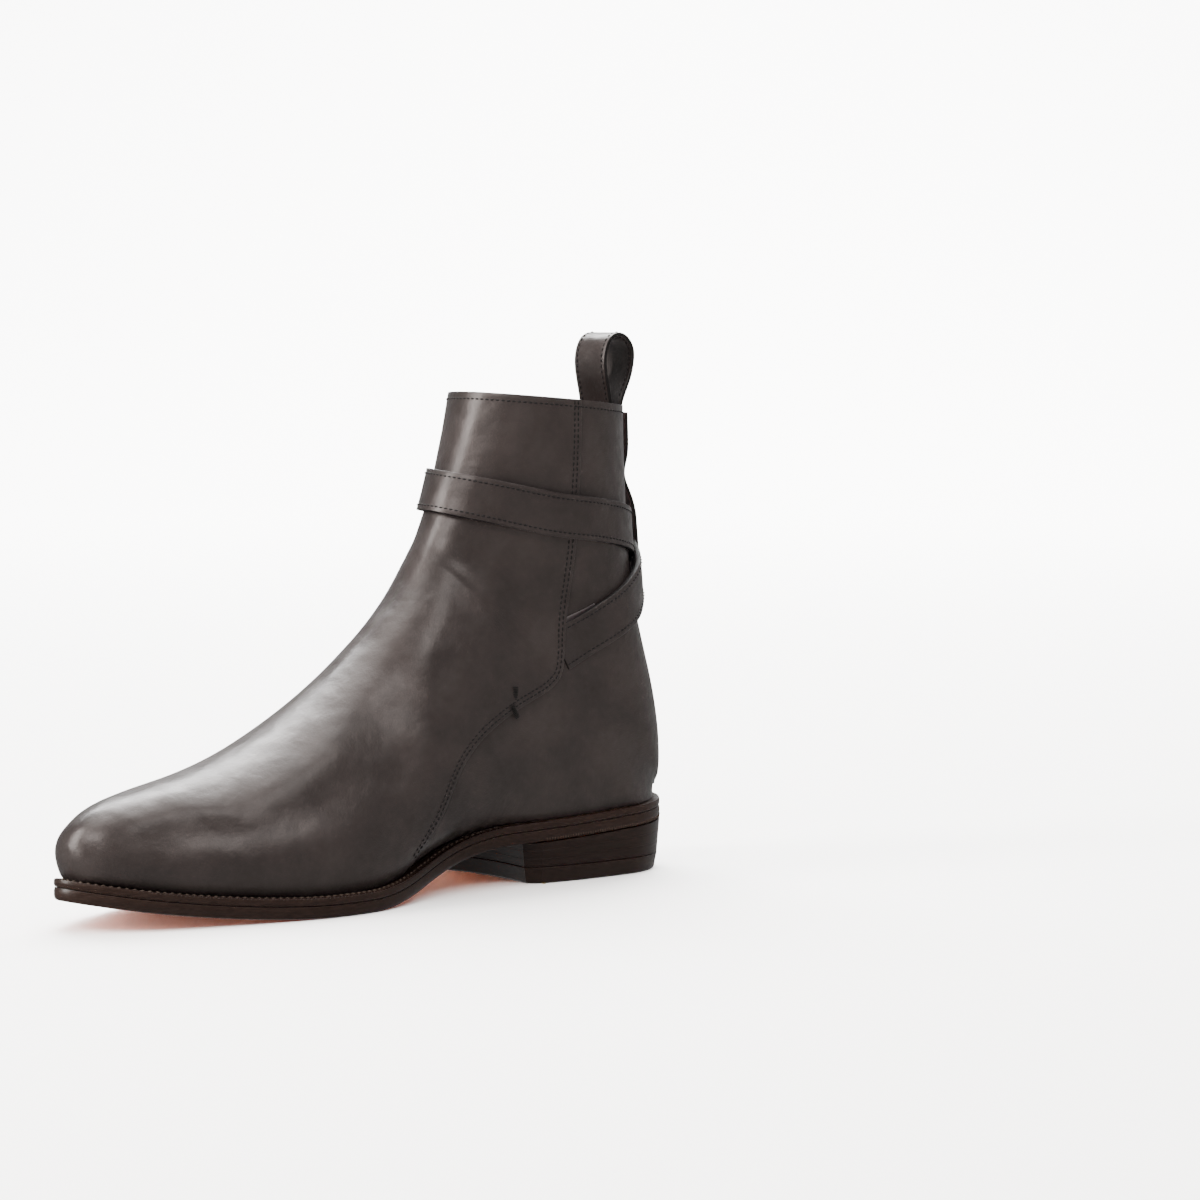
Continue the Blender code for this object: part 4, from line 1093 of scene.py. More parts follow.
def heel_solid(name, rows, finishes, cut=None, bottom=0):
    """Layers of the heel: rows of height function and inset, from below upwards.

    cut is a place and the direction in which all beyond it is cut away.
    """
    mesh = bmesh.new()
    outline = heel_outline()
    loops = []
    for height, inset in rows:
        loops.append([mesh.verts.new(place(a, b, height(a))) for a, b in shrink(outline, inset)])
    for near, far in zip(loops, loops[1:]):
        bridge(mesh, near, far)
    mesh.faces.new(loops[0][::-1]).material_index = bottom
    mesh.faces.new(loops[-1])
    face_out(mesh)
    if cut:
        spot, direction = cut
        parts = mesh.verts[:] + mesh.edges[:] + mesh.faces[:]
        done = bmesh.ops.bisect_plane(mesh, geom=parts, plane_co=place(*spot, 0.0),
                                      plane_no=heading(*direction, 0.0), clear_outer=True)
        edges = [part for part in done["geom_cut"] if isinstance(part, bmesh.types.BMEdge)]
        bmesh.ops.contextual_create(mesh, geom=edges)
    return solid_object(name, mesh, finishes, smooth=25)


def make_heel_stack(finish):
    """The stack, with a fine groove between every two lifts."""
    low = TOP_PIECE + GAP

    def level(share):
        return lambda a: low + (sole_under(a) - GAP - low) * share

    rows = []
    for k in range(LIFTS):
        for t, groove in LIFT_EDGE:
            share = (k + t) / LIFTS
            inset = HEEL_TAPER * (1 - share) + (LIFT_GROOVE * groove if k + t else 0.0)
            rows.append((level(share), inset))
    rows.append((level(1.0), STACK_TOP_INSET))
    return heel_solid("heel_lifts", rows, [finish])


def top_piece_parts():
    """The top piece's rows, a place on the rubber tip's edge, and the way to the tip."""
    inner = Vector((RUBBER_SHARES[0] * HEEL_BREAST, half_width(HEEL_BREAST, 1)))
    outer = Vector((RUBBER_SHARES[1] * HEEL_BREAST, -half_width(HEEL_BREAST, -1)))
    back = Vector((inner.y - outer.y, outer.x - inner.x)).normalized() * -1
    return [(steady(lift), inset) for inset, lift in TOP_PIECE_EDGE], inner, back


def make_pins(brass):
    """Brass pins of the top piece, in groups of three, just proud of it."""
    mesh = bmesh.new()
    for along, inner, turn in PIN_GROUPS:
        for k in range(PINS_IN_GROUP):
            angle = math.radians(turn + 360 * k / PINS_IN_GROUP)
            spot = place(along / 1000 + PIN_SPREAD * math.cos(angle),
                         inner / 1000 + PIN_SPREAD * math.sin(angle), PIN_SINK)
            bmesh.ops.create_cone(mesh, cap_ends=True, segments=PIN_SIDES, radius1=PIN, radius2=PIN,
                                  depth=PIN_DEPTH, matrix=Matrix.Translation(spot))
    return solid_object("heel_pins", mesh, [brass], smooth=30)


def heel_ticks(finish):
    """The row of small upright marks pressed round the outsole's edge over the heel."""
    spots = []
    points = np.array([place(a, b, sole_under(a) + TICK_HEIGHT)
                       for a, b in shrink(heel_outline(), TICK_INSET)])
    length = run_length(points)
    count = int(length[-1] / TICK_PITCH)
    for i in range(count):
        t = (i + 0.5) * length[-1] / count
        spot = spot_at(t, length, points)
        if ORIGIN_ALONG - spot.x > TICK_END:
            continue
        ahead = spot_at(min(t + NEIGHBOUR, length[-1]), length, points)
        out = (ahead - spot).normalized().cross(UP).normalized()
        if out.dot(spot - place(HEEL_MIDDLE, 0.0, spot.z)) < 0:
            out = -out
        spots.append((spot, UP, out, TICK_LONG, TICK_THICK))
    return stitch_object("heel_ticks", spots, finish)


def make_insole(finish):
    """The insole: a smooth leather sock with a softly rounded edge."""
    layers = [[place(a, b, welt_top(a) - WELT + lift)
               for a, b in closed_line(feather_inset(WALL + INSOLE_EASE + extra))]
              for extra, lift in INSOLE_EDGE]
    return solid_object("insole_sock", plate_mesh(layers, (0, 0)), [finish])


# Materials
SOCKETS = {
    "colour": "Base Color", "rough": "Roughness", "metal": "Metallic", "coat": "Coat Weight",
    "coat_rough": "Coat Roughness", "sheen": "Sheen Weight", "specular": "Specular IOR Level",
    "tint": "Specular Tint"}


def new_material(name, **sockets):
    """A new material, its node tree, its shader and its object coordinates.

    sockets are the shader's own values that are the same all over the surface.
    """
    made = bpy.data.materials.new(name)
    made.use_nodes = True
    tree = made.node_tree
    shader = tree.nodes["Principled BSDF"]
    for label, amount in sockets.items():
        shader.inputs[SOCKETS[label]].default_value = amount
    where = tree.nodes.new("ShaderNodeTexCoord").outputs["Object"]
    return made, tree, shader, where


def noise(tree, where, scale, detail=3.0, roughness=0.5, stretch=None):
    """Noise over the object, finer for a larger scale and stretched along its axes."""
    if stretch:
        mapping = tree.nodes.new("ShaderNodeMapping")
        mapping.inputs["Scale"].default_value = stretch
        tree.links.new(where, mapping.inputs["Vector"])
        where = mapping.outputs["Vector"]
    node = tree.nodes.new("ShaderNodeTexNoise")
    node.inputs["Scale"].default_value = scale
    node.inputs["Detail"].default_value = detail
    node.inputs["Roughness"].default_value = roughness
    tree.links.new(where, node.inputs["Vector"])
    return node.outputs["Fac"]


def cells(tree, where, scale):
    """How far a point lies from the edges of small cells."""
    node = tree.nodes.new("ShaderNodeTexVoronoi")
    node.feature = "DISTANCE_TO_EDGE"
    node.inputs["Scale"].default_value = scale
    tree.links.new(where, node.inputs["Vector"])
    return node.outputs["Distance"]


def spread(tree, source, low, high, start=0.35, end=0.65):
    """Map a value from start..end to low..high."""
    node = tree.nodes.new("ShaderNodeMapRange")
    node.inputs["From Min"].default_value = start
    node.inputs["From Max"].default_value = end
    node.inputs["To Min"].default_value = low
    node.inputs["To Max"].default_value = high
    tree.links.new(source, node.inputs["Value"])
    return node.outputs["Result"]


def mixed(tree, factor, first, second):
    """Mix two colours by a value."""
    node = tree.nodes.new("ShaderNodeMix")
    node.data_type = "RGBA"
    tree.links.new(factor, node.inputs["Factor"])
    node.inputs["A"].default_value = (*first, 1.0)
    node.inputs["B"].default_value = (*second, 1.0)
    return node.outputs["Result"]


def mottle(tree, shader, source, colour, dark, pale):
    """Colour the shader unevenly, between a darker and a paler share of a colour."""
    shades = [tuple(min(c * share, 1.0) for c in colour) for share in (dark, pale)]
    tree.links.new(mixed(tree, spread(tree, source, 0.0, 1.0), *shades),
                   shader.inputs["Base Color"])


def gloss(tree, shader, source, low, high):
    """Let the roughness vary from low to high."""
    tree.links.new(spread(tree, source, low, high), shader.inputs["Roughness"])


def relief(tree, shader, source, distance):
    """Raise the surface by a bump alone."""
    tree.links.new(bump(tree, source, distance), shader.inputs["Normal"])


def bump(tree, source, distance, strength=1.0, under=None):
    """A bump of a real height, on top of another one if given."""
    node = tree.nodes.new("ShaderNodeBump")
    node.inputs["Distance"].default_value = distance
    node.inputs["Strength"].default_value = strength
    tree.links.new(source, node.inputs["Height"])
    if under is not None:
        tree.links.new(under, node.inputs["Normal"])
    return node.outputs["Normal"]


def calf_material(name, colour, rough, coat):
    """Polished box calf: fine pores, soft unevenness and a thin coat of polish."""
    made, tree, shader, where = new_material(
        name, coat=coat, coat_rough=0.24, specular=0.20, tint=(1.0, 0.91, 0.88, 1.0))
    mottle(tree, shader, noise(tree, where, 38.0, 4.0), colour, 0.80, 1.18)
    gloss(tree, shader, noise(tree, where, 120.0, 5.0, 0.6), rough - 0.06, rough + 0.08)
    pores = spread(tree, cells(tree, where, 1500.0), 0.0, 1.0, 0.0, 0.25)
    creases = noise(tree, where, 330.0, 4.0, 0.6)
    normal = bump(tree, noise(tree, where, 42.0, 2.0), 0.0019)
    normal = bump(tree, creases, 0.00017, 1.0, normal)
    normal = bump(tree, pores, 0.000020, 0.7, normal)
    tree.links.new(normal, shader.inputs["Normal"])
    return made


def lining_material(name, colour):
    """Smooth lining leather with a soft nap."""
    made, tree, shader, where = new_material(name, rough=0.55, sheen=0.15)
    mottle(tree, shader, noise(tree, where, 60.0), colour, 0.75, 1.2)
    relief(tree, shader, noise(tree, where, 900.0, 3.0, 0.7), 0.00006)
    return made


def edge_material(name, colour, rough, coat):
    """Inked and waxed cut edge."""
    made, tree, shader, where = new_material(name, coat=coat, coat_rough=0.25, specular=0.15)
    grain = noise(tree, where, 260.0, 4.0, 0.6, (1.0, 1.0, 4.0))
    mottle(tree, shader, grain, colour, 0.8, 1.15)
    gloss(tree, shader, grain, rough - 0.06, rough + 0.08)
    relief(tree, shader, grain, 0.00008)
    return made


def sole_material(name, colour):
    """Polished sole leather, with brushed streaks along the foot and soft clouds."""
    made, tree, shader, where = new_material(name, coat=0.8, coat_rough=0.12)
    streaks = noise(tree, where, 55.0, 5.0, 0.65, (1.0, 16.0, 1.0))
    clouds = noise(tree, where, 26.0, 3.0)
    deep = (colour[0] * 0.90, colour[1] * 0.80, colour[2] * 0.75)
    bright = (min(colour[0] * 1.08, 1.0), colour[1] * 1.15, colour[2] * 1.2)
    blend = tree.nodes.new("ShaderNodeMix")
    blend.data_type = "RGBA"
    blend.blend_type = "MULTIPLY"
    blend.inputs["Factor"].default_value = 0.35
    tree.links.new(mixed(tree, spread(tree, streaks, 0.0, 1.0), deep, bright),
                   blend.inputs["A"])
    tree.links.new(mixed(tree, spread(tree, clouds, 0.0, 1.0), (0.8, 0.62, 0.55), (1, 1, 1)),
                   blend.inputs["B"])
    tree.links.new(blend.outputs["Result"], shader.inputs["Base Color"])
    gloss(tree, shader, streaks, 0.20, 0.34)
    relief(tree, shader, streaks, 0.00002)
    return made


def stack_material(name, colour):
    """Waxed edge of stacked leather, with fine level lines."""
    made, tree, shader, where = new_material(name, coat=0.1, coat_rough=0.2, specular=0.15)
    grain = noise(tree, where, 90.0, 4.0, 0.6, (1.0, 1.0, 9.0))
    mottle(tree, shader, grain, colour, 0.6, 0.9)
    gloss(tree, shader, grain, 0.30, 0.38)
    relief(tree, shader, grain, 0.00006)
    return made


def thread_material(name, colour):
    """Waxed thread, a little fibrous."""
    made, tree, shader, where = new_material(name, colour=(*colour, 1.0), specular=0.15)
    fibre = noise(tree, where, 2600.0, 2.0)
    gloss(tree, shader, fibre, 0.6, 0.8)
    relief(tree, shader, fibre, 0.00005)
    return made


def brass_material(name, colour):
    """Worn brass: duller in random patches, with fine scratches on the faces."""
    made, tree, shader, where = new_material(name, metal=1.0)
    dull = noise(tree, where, 300.0, 5.0, 0.65)
    mottle(tree, shader, dull, colour, 0.62, 1.25)
    gloss(tree, shader, dull, 0.20, 0.38)
    relief(tree, shader, noise(tree, where, 240.0, 4.0, 0.7, (1.0, 14.0, 1.0)), 0.00004)
    return made


def plain_material(name, colour, rough, specular, scale, height):
    """One matt colour with a fine relief, such as rubber or a painted floor."""
    made, tree, shader, where = new_material(
        name, colour=(*colour, 1.0), rough=rough, specular=specular)
    relief(tree, shader, noise(tree, where, scale), height)
    return made


def darker(colour, *shares):
    """A colour with each of its parts at a share, or all at the same one."""
    return tuple(c * share for c, share in zip(colour, shares * (3 // len(shares))))


PAINTS = {}


def paint(name):
    """The material of that name, made from the panel's colours at first use."""
    if name in PAINTS:
        return PAINTS[name]
    looks = bpy.context.scene.boot_looks
    makers = {
        "calf": lambda: calf_material("box_calf", looks.calf, looks.calf_rough, 0.10),
        "strap_calf": lambda: calf_material("strap_calf", darker(looks.calf, 0.9),
                                            looks.calf_rough, 0.10),
        "lining": lambda: lining_material("burgundy_lining", looks.lining),
        "shaded_lining": lambda: lining_material("shaded_lining", darker(looks.lining, 0.25)),
        "cut_edge": lambda: edge_material("inked_cut_edge", (0.004, 0.0032, 0.003), 0.55, 0.0),
        "sole_edge": lambda: edge_material("inked_sole_edge", looks.edge, 0.36, 0.1),
        "sole": lambda: sole_material("polished_sole", looks.sole),
        "sole_border": lambda: sole_material("sole_border", darker(looks.sole, 0.72, 0.42, 0.45)),
        "stack": lambda: stack_material("heel_stack_edge", looks.edge),
        "insole": lambda: lining_material("insole_leather_tan", (0.36, 0.19, 0.09)),
        "ticks": lambda: thread_material("pressed_marks", (0.030, 0.020, 0.015)),
        "thread": lambda: thread_material("dark_thread", (0.0045, 0.0038, 0.0036)),
        "sole_thread": lambda: thread_material("waxed_sole_thread", (0.045, 0.018, 0.008)),
        "welt_thread": lambda: thread_material("welt_thread", (0.06, 0.045, 0.035)),
        "brass": lambda: brass_material("aged_brass", looks.brass),
        "rubber": lambda: plain_material("heel_rubber", (0.010, 0.010, 0.010), 0.6, 0.15,
                                         700.0, 0.0001),
        "floor": lambda: plain_material("pale_floor", looks.floor, 0.65, 0.2, 120.0, 0.00004),
    }
    PAINTS[name] = makers[name]()
    return PAINTS[name]


def belong(piece, slot, *nodes):
    """Put a piece on the boot's body, in place of its CAD nodes. The slot is not used."""
    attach(piece, "root")
    if nodes:
        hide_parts(*nodes)
    return piece


def need(condition, words):
    """Stop the script with a message where something is missing."""
    if not condition:
        raise RuntimeError(words)


# Shapes that later steps build on: the upper's skin as a grid, the leg's leather
# without and with the front panel's step, and the buckle's seat.
SHAPES = {}


def shape(name):
    """A shape that an earlier step has made."""
    need(name in SHAPES, f"The step that makes the {name} comes first")
    return SHAPES[name]


def make_upper():
    """The quarters all round, and the front panel over them up to its seam."""
    grid = SHAPES["skin"] = skin_grid()
    middle = upper_middle()
    finishes = [paint("calf"), paint("cut_edge"), paint("lining")]
    quarters = grid_object("quarters", grid, finishes, away_from(middle), True)
    SHAPES["leather"] = Leather(quarters, PANEL_STEP)
    SHAPES["bare"] = Leather(quarters)
    thicken(quarters, WALL, -1)
    belong(quarters, "calf", "upper")
    normals = face_out_grid(grid, normals_of(grid), np.array(middle))
    verts, faces = panel_mesh(grid + normals * PANEL_SINK)
    vamp = mesh_object("vamp", verts, faces, finishes, smooth=60)
    clean_surface(vamp, PANEL_MERGE, away_from(middle))
    thicken(vamp, PANEL_STEP, 1, PANEL_ROUND, 0, 1)
    belong(vamp, "calf")
    return quarters, vamp


def seam_points(side, inset):
    """Points and normals along the front panel's edge, inset from it."""
    bare = shape("bare")
    first, last = SEAM_RUN
    line = SEAM_LINES[side]
    steps = np.diff(line, axis=0)
    ways = np.vstack([steps, steps[-1:]])
    ways /= np.linalg.norm(ways, axis=1, keepdims=True)
    points, normals = [], []
    for (along, up), way in zip(line, ways):
        if not first * BOOT_HEIGHT <= up <= last * BOOT_HEIGHT:
            continue
        hit, normal = bare.beside(along + way[1] * inset, side, up - way[0] * inset)
        if hit is not None:
            points.append(hit + normal * (PANEL_STEP + PANEL_SINK))
            normals.append(normal)
    return points, normals


def row_of(points, normals):
    """A stitch row along points, with the panel's stitch sizes."""
    sizes = bpy.context.scene.boot_stitches
    return stitch_row(points, normals, sizes.pitch, sizes.long, sizes.thick)


def edge_rows(leg, grid, inset, thickness, last=None):
    """The stitch rows down both long edges of a strip."""
    return [spot for edge in (0, 1)
            for spot in row_of(*outer_line(leg, grid, edge, inset, thickness, last))]


def sewn(name, spots):
    """The stitches of a piece of the upper, as a piece of their own."""
    return belong(stitch_object(name, spots, paint("thread")), "calf")


def tack(side, along, up, turn):
    """A bar tack across the seam: short stitches side by side."""
    hit, normal = shape("bare").beside(along / 1000, side, up / 1000)
    turn = math.radians(turn)
    way = heading(math.cos(turn), 0, math.sin(turn)).normalized()
    across = normal.cross(way).normalized()
    spots = []
    for k in range(TACK_COUNT):
        middle = hit + normal * (PANEL_STEP + PANEL_SINK + TACK_LIFT)
        middle += way * (k - (TACK_COUNT - 1) / 2) * TACK_PITCH
        spots.append((middle, across, normal, TACK_WIDE, TACK_THICK))
    return spots


def make_seams():
    """Two rows along the front panel's edge on each side, its tacks, and the collar's row."""
    spots = []
    for side in (1, -1):
        for inset in SEAM_ROWS:
            spots += row_of(*seam_points(side, inset))
        for row in TACKS[side]:
            spots += tack(side, *row)
    return sewn("seam_stitches", spots), sewn("collar_stitches", row_of(*collar_line()))


def collar_line():
    """Points and normals round the collar, just below its rim."""
    bare = shape("bare")
    points, normals = [], []
    for spot in inset_line(shape("skin").transpose(1, 0, 2), 1, COLLAR_INSET):
        hit, normal = bare.tree.find_nearest(spot)[:2]
        side = 1 if hit.y < 0 else -1
        lift = (PANEL_STEP + PANEL_SINK
                if ORIGIN_ALONG - hit.x > seam_along(hit.z, side) else 0.0)
        points.append(hit + normal * lift)
        normals.append(normal)
    return points, normals


def edge_normals(grid, edge):
    """Normals of a strip just in from its first long edge, 0, or its last, 1."""
    return [Vector(way[-2 if edge else 1]) for way in normals_of(grid)]


def outer_line(leather, grid, edge, inset, thickness, last=None):
    """A stitch line on the outside of a strip, in from one of its edges."""
    points, normals = [], []
    for spot, way in zip(inset_line(grid, edge, inset), edge_normals(grid, edge)):
        if way.dot(leather.tree.find_nearest(spot)[1]) < 0:
            way = -way
        points.append(spot + way * thickness)
        normals.append(way)
    return points[:last], normals[:last]


def bake(piece):
    """Apply a piece's modifiers, so that helpers can go."""
    graph = bpy.context.evaluated_depsgraph_get()
    data = bpy.data.meshes.new_from_object(piece.evaluated_get(graph))
    old = piece.data
    piece.modifiers.clear()
    piece.data = data
    bpy.data.meshes.remove(old)


def lay(name, grid, thickness):
    """A strip of leather from its grid of points, thick and with rounded edges."""
    tree = shape("leather").tree

    def off_the_leg(face):
        return face.normal.dot(tree.find_nearest(face.calc_center_median())[1])

    finishes = [paint("strap_calf"), paint("cut_edge"), paint("lining")]
    return thicken(grid_object(name, grid, finishes, off_the_leg), thickness, 1, STRIP_ROUND)


def slot_lining(grid):
    """The lining that shows above the buckle strap where it goes under the front panel."""
    leg = shape("bare")
    edge = -1 if grid[0, -1, 2] > grid[0, 0, 2] else 0
    length = run_length(grid[:, edge])
    rows = []
    for spot, other, run in zip(grid[:, edge], grid[:, edge // 2 - 1 if edge else 1], length):
        if not SLOT_RUN[0] <= run <= SLOT_RUN[1]:
            continue
        up = Vector(spot - other).normalized()
        wide = SLOT_WIDE * (1 - 0.8 * ease(run, *SLOT_RUN))
        rows.append([leg.settle(Vector(spot) + up * wide * share, SLOT_LIFT)[0]
                     for share in SLOT_SHARES])
    piece = grid_object("strap_slot_lining", np.array(rows), [paint("shaded_lining")])
    wall = piece.modifiers.new("thickness", "SOLIDIFY")
    wall.thickness = SLOT_THICK
    wall.offset = 0
    return belong(piece, "calf")


def buckle_seat(leg, middles, length, centre):
    """The buckle's own frame: x runs to the strap's tip, z out."""
    reach = BUCKLE_LONG / 2 - BUCKLE_BAR / 2
    points = np.array([list(spot) for spot in middles])
    bars = [leg.settle(spot_at(run, length, points), 0.0)
            for run in (centre - reach, centre + reach)]
    x = (bars[1][0] - bars[0][0]).normalized()
    normal = bars[0][1] + bars[1][1]
    z = (normal - x * normal.dot(x)).normalized()
    lift = 2 * GAP + 2 * STRAP + STRAP_GAP + BUCKLE_CLEAR + BUCKLE_THICK / 2
    return Matrix.Translation((bars[0][0] + bars[1][0]) / 2 + z * lift) @ Matrix(
        (x, z.cross(x), z)).transposed().to_4x4()


def dive(length):
    """How far a strap lies under the front panel's edge at its start."""
    return np.array([STRAP_DIVE * (1 - ease(run, *DIVE_RUN)) for run in length])


def lay_buckle_strap(leg):
    """The strap that carries the buckle, and its stitches."""
    middles, _, over = strap_middles(leg, BUCKLE_STRAP)
    lifts = GAP + over * (STRAP + STRAP_GAP) - dive(run_length(middles))
    grid = strip_grid(leg, middles, [STRAP_WIDTH / 2] * len(middles), lifts)
    strap = belong(lay("strap_with_buckle", grid, STRAP), "calf", "strap_buckle")
    slot = slot_lining(grid)
    return strap, slot, edge_rows(leg, grid, STRAP_STITCH_INSET, STRAP)


def lay_front_strap(leg):
    """The strap round the front, arched over the buckle's middle, and its stitches."""
    half = STRAP_WIDTH / 2
    middles, turns, over = strap_middles(leg, FRONT_STRAP)
    length = run_length(middles)
    first_angle = FRONT_STRAP[0][0]
    centre = float(np.interp(abs(BUCKLE_ANGLE - first_angle), turns, length))
    SHAPES["seat"] = buckle_seat(leg, middles, length, centre)
    away = np.clip(np.abs(length - centre) / (BUCKLE_LONG * ARCH_SHARE), 0.0, 1.0)
    lifts = GAP + over * (STRAP + STRAP_GAP) + ARCH * np.cos(away * math.pi / 2) ** 2
    lifts += STRAP_SLACK * np.maximum(np.cos(np.radians(first_angle - turns)), 0) ** 2
    lifts -= dive(length)
    left = (length[-1] - length) / half
    halves = [half * max(round_end(share, 1.0), TIP_NARROWEST) for share in left]
    grid = strip_grid(leg, middles, halves, lifts)
    tip_rows = int(TIP_STITCHED * half / FINE_STEP)
    return (lay("strap_round_the_front", grid, STRAP),
            edge_rows(leg, grid, STRAP_STITCH_INSET, STRAP, -tip_rows))


def punch(strap, along):
    """Punch one of the prong's holes through a strap."""
    mesh = bmesh.new()
    bmesh.ops.create_cone(mesh, cap_ends=True, segments=HOLE_SIDES, radius1=PRONG_HOLE / 2,
                          radius2=PRONG_HOLE / 2, depth=BUCKLE_LONG / 2)
    hole = solid_object("hole", mesh, [paint("cut_edge")])
    hole.matrix_world = shape("seat") @ Matrix.Translation((along * BUCKLE_LONG, 0, 0))
    bpy.context.view_layer.update()
    cut = strap.modifiers.new("hole", "BOOLEAN")
    cut.object = hole
    cut.solver = "EXACT"
    bake(strap)
    bpy.data.objects.remove(hole, do_unlink=True)


def make_straps():
    """Both straps with their stitches, and the two holes that the prong needs."""
    leg = shape("leather")
    strap, slot, spots = lay_buckle_strap(leg)
    front, more = lay_front_strap(leg)
    for along in (PRONG_SLIT, PRONG_EYE):
        punch(front, along)
    front.data.set_sharp_from_angle(angle=math.radians(HOLE_SHARP))
    belong(front, "calf", "strap_front")
    return strap, front, slot, sewn("strap_stitches", spots + more)


def sweep(name, path, frames, section, scales, closed, smooth=40):
    """A brass solid of a section carried along a path, scaled row by row."""
    mesh = bmesh.new()
    loops = []
    for spot, (across, up), scale in zip(path, frames, scales):
        loops.append([mesh.verts.new(spot + across * x * scale + up * y * scale)
                      for x, y in section])
    for near, far in zip(loops, loops[1:] + (loops[:1] if closed else [])):
        bridge(mesh, near, far)
    if not closed:
        mesh.faces.new(loops[0][::-1])
        mesh.faces.new(loops[-1])
    piece = solid_object(name, mesh, [paint("brass")], smooth)
    piece.matrix_world = shape("seat")
    return piece


def round_rectangle(long, wide, radius, steps):
    """Points round a rectangle's rounded corners, each with its way out."""
    points = []
    for k, (sx, sy) in enumerate(((1, 1), (-1, 1), (-1, -1), (1, -1))):
        corner = Vector((sx * (long / 2 - radius), sy * (wide / 2 - radius), 0))
        for i in range(steps):
            turn = math.radians(90 * k + 90 * i / (steps - 1))
            out = Vector((math.cos(turn), math.sin(turn), 0))
            points.append((corner + out * radius, out))
    return points


def make_frame():
    """The buckle's frame, with rounded bars."""
    corners = round_rectangle(BUCKLE_LONG - BUCKLE_BAR, BUCKLE_WIDE - BUCKLE_BAR,
                              BUCKLE_CORNER, CORNER_STEPS)
    section = [spot[:2] for spot, out in
               round_rectangle(BUCKLE_BAR, BUCKLE_THICK, BUCKLE_EDGE, BAR_STEPS)]
    rim = sweep("buckle_bars", [spot for spot, out in corners],
                [(out, UP) for spot, out in corners], section, [1.0] * len(corners), True)
    return belong(rim, "brass", "buckle_frame")


def make_prong():
    """The buckle's prong, narrower at its ends."""
    line = smooth_line([(a * BUCKLE_LONG, z * BUCKLE_THICK) for a, z in PRONG_PATH], PRONG_STEPS)
    path = [Vector((x, 0, z)) for x, z in line]
    across = Vector((0, 1, 0))
    frames = []
    for i in range(PRONG_STEPS):
        run = (path[min(i + 1, PRONG_STEPS - 1)] - path[max(i - 1, 0)]).normalized()
        frames.append((across, run.cross(across)))
    (loop_end, loop_slope), (tip_end, tip_slope) = PRONG_ENDS
    scales = [min(1.0, loop_end + loop_slope * t, tip_end + tip_slope * (1 - t))
              for t in np.linspace(0, 1, PRONG_STEPS)]
    turns = [2 * math.pi * k / PRONG_SIDES for k in range(PRONG_SIDES)]
    section = [(PRONG / 2 * math.cos(turn), PRONG / 2 * math.sin(turn)) for turn in turns]
    prong = sweep("buckle_tongue", path, frames, section, scales, False, 60)
    return belong(prong, "brass", "buckle_prong")


def make_stay():
    """The strip up the back seam, stitched down both edges."""
    leg = shape("bare")
    low = welt_top(FEATHER_BACK)
    seam = collar_back() - low
    heights, halves, lifts = (column(STAY_ROWS, STAY_COLUMNS, name) for name in STAY_COLUMNS)
    ups = np.linspace(heights[0], heights[-1],
                      round((heights[-1] - heights[0]) * seam / FINE_STEP))
    middles = [leg.behind(0.0, low + up * seam) for up in ups]
    halves = np.interp(ups, heights, halves) * STRAP_WIDTH
    lifts = soften(np.interp(ups, heights, lifts), LIFT_SOFTENING)
    lifts = GAP + lifts * (STRAP + STRAP_GAP)
    grid = strip_grid(leg, middles, halves, lifts)
    stay = belong(lay("stay_up_the_back", grid, STAY), "calf", "back_stay")
    return stay, sewn("stay_stitches", edge_rows(leg, grid, STAY_STITCH_INSET, STAY))


def make_loop():
    """The pull loop: a tape from under the stay, over the collar and down inside."""
    leg = shape("bare")
    top = collar_back()
    count = len(LOOP_ROWS) - 1
    curves = [spline(range(count + 1), column(LOOP_ROWS, LOOP_COLUMNS, name))
              for name in LOOP_COLUMNS]
    rows = []
    for step in range(count * LOOP_FINE + 1):
        behind, up, bend = (float(curve(step / LOOP_FINE)) for curve in curves)
        height = top + up * LOOP_HEIGHT
        level = min(height, top - GAP)
        middle = leg.behind(0.0, level)
        row = []
        for k in range(FINE_ACROSS + 1):
            inner = LOOP_WIDTH * (k / FINE_ACROSS - 0.5)
            hollow = leg.behind(inner, level).x - middle.x
            row.append(Vector((middle.x + behind * LOOP_HEIGHT + bend * hollow, -inner, height)))
        rows.append(row)
    grid = np.array(rows)
    loop = grid_object("loop_of_tape", grid, [paint("strap_calf"), paint("cut_edge")])
    thicken(loop, LOOP, 0, STRIP_ROUND, 0)
    belong(loop, "calf", "pull_loop")
    spots = []
    sewn_run = slice(LOOP_HIDDEN * LOOP_FINE, -LOOP_HIDDEN * LOOP_FINE)
    for edge in (0, 1):
        line = inset_line(grid, edge, LOOP_STITCH_INSET)
        for face in (1, -1):
            normals = [way * face for way in edge_normals(grid, edge)]
            points = [spot + way * LOOP / 2 for spot, way in zip(line, normals)]
            spots += row_of(points[sewn_run], normals[sewn_run])
    return loop, sewn("loop_stitches", spots)


def make_sole():
    """Outsole, welt, insole and the stitches that hold them."""
    underside = [paint("sole_edge"), paint("sole"), paint("sole_border")]
    return (
        belong(make_outsole(underside), "sole_leather", "outsole"),
        belong(make_welt(paint("sole_edge")), "sole_edge", "welt"),
        belong(fudge_ridges(paint("sole_edge")), "sole_edge"),
        belong(sole_stitches(paint("sole_thread")), "sole_leather"),
        belong(welt_stitches(paint("welt_thread")), "sole_edge"),
        belong(make_insole(paint("insole")), "insole_leather", "insole"))


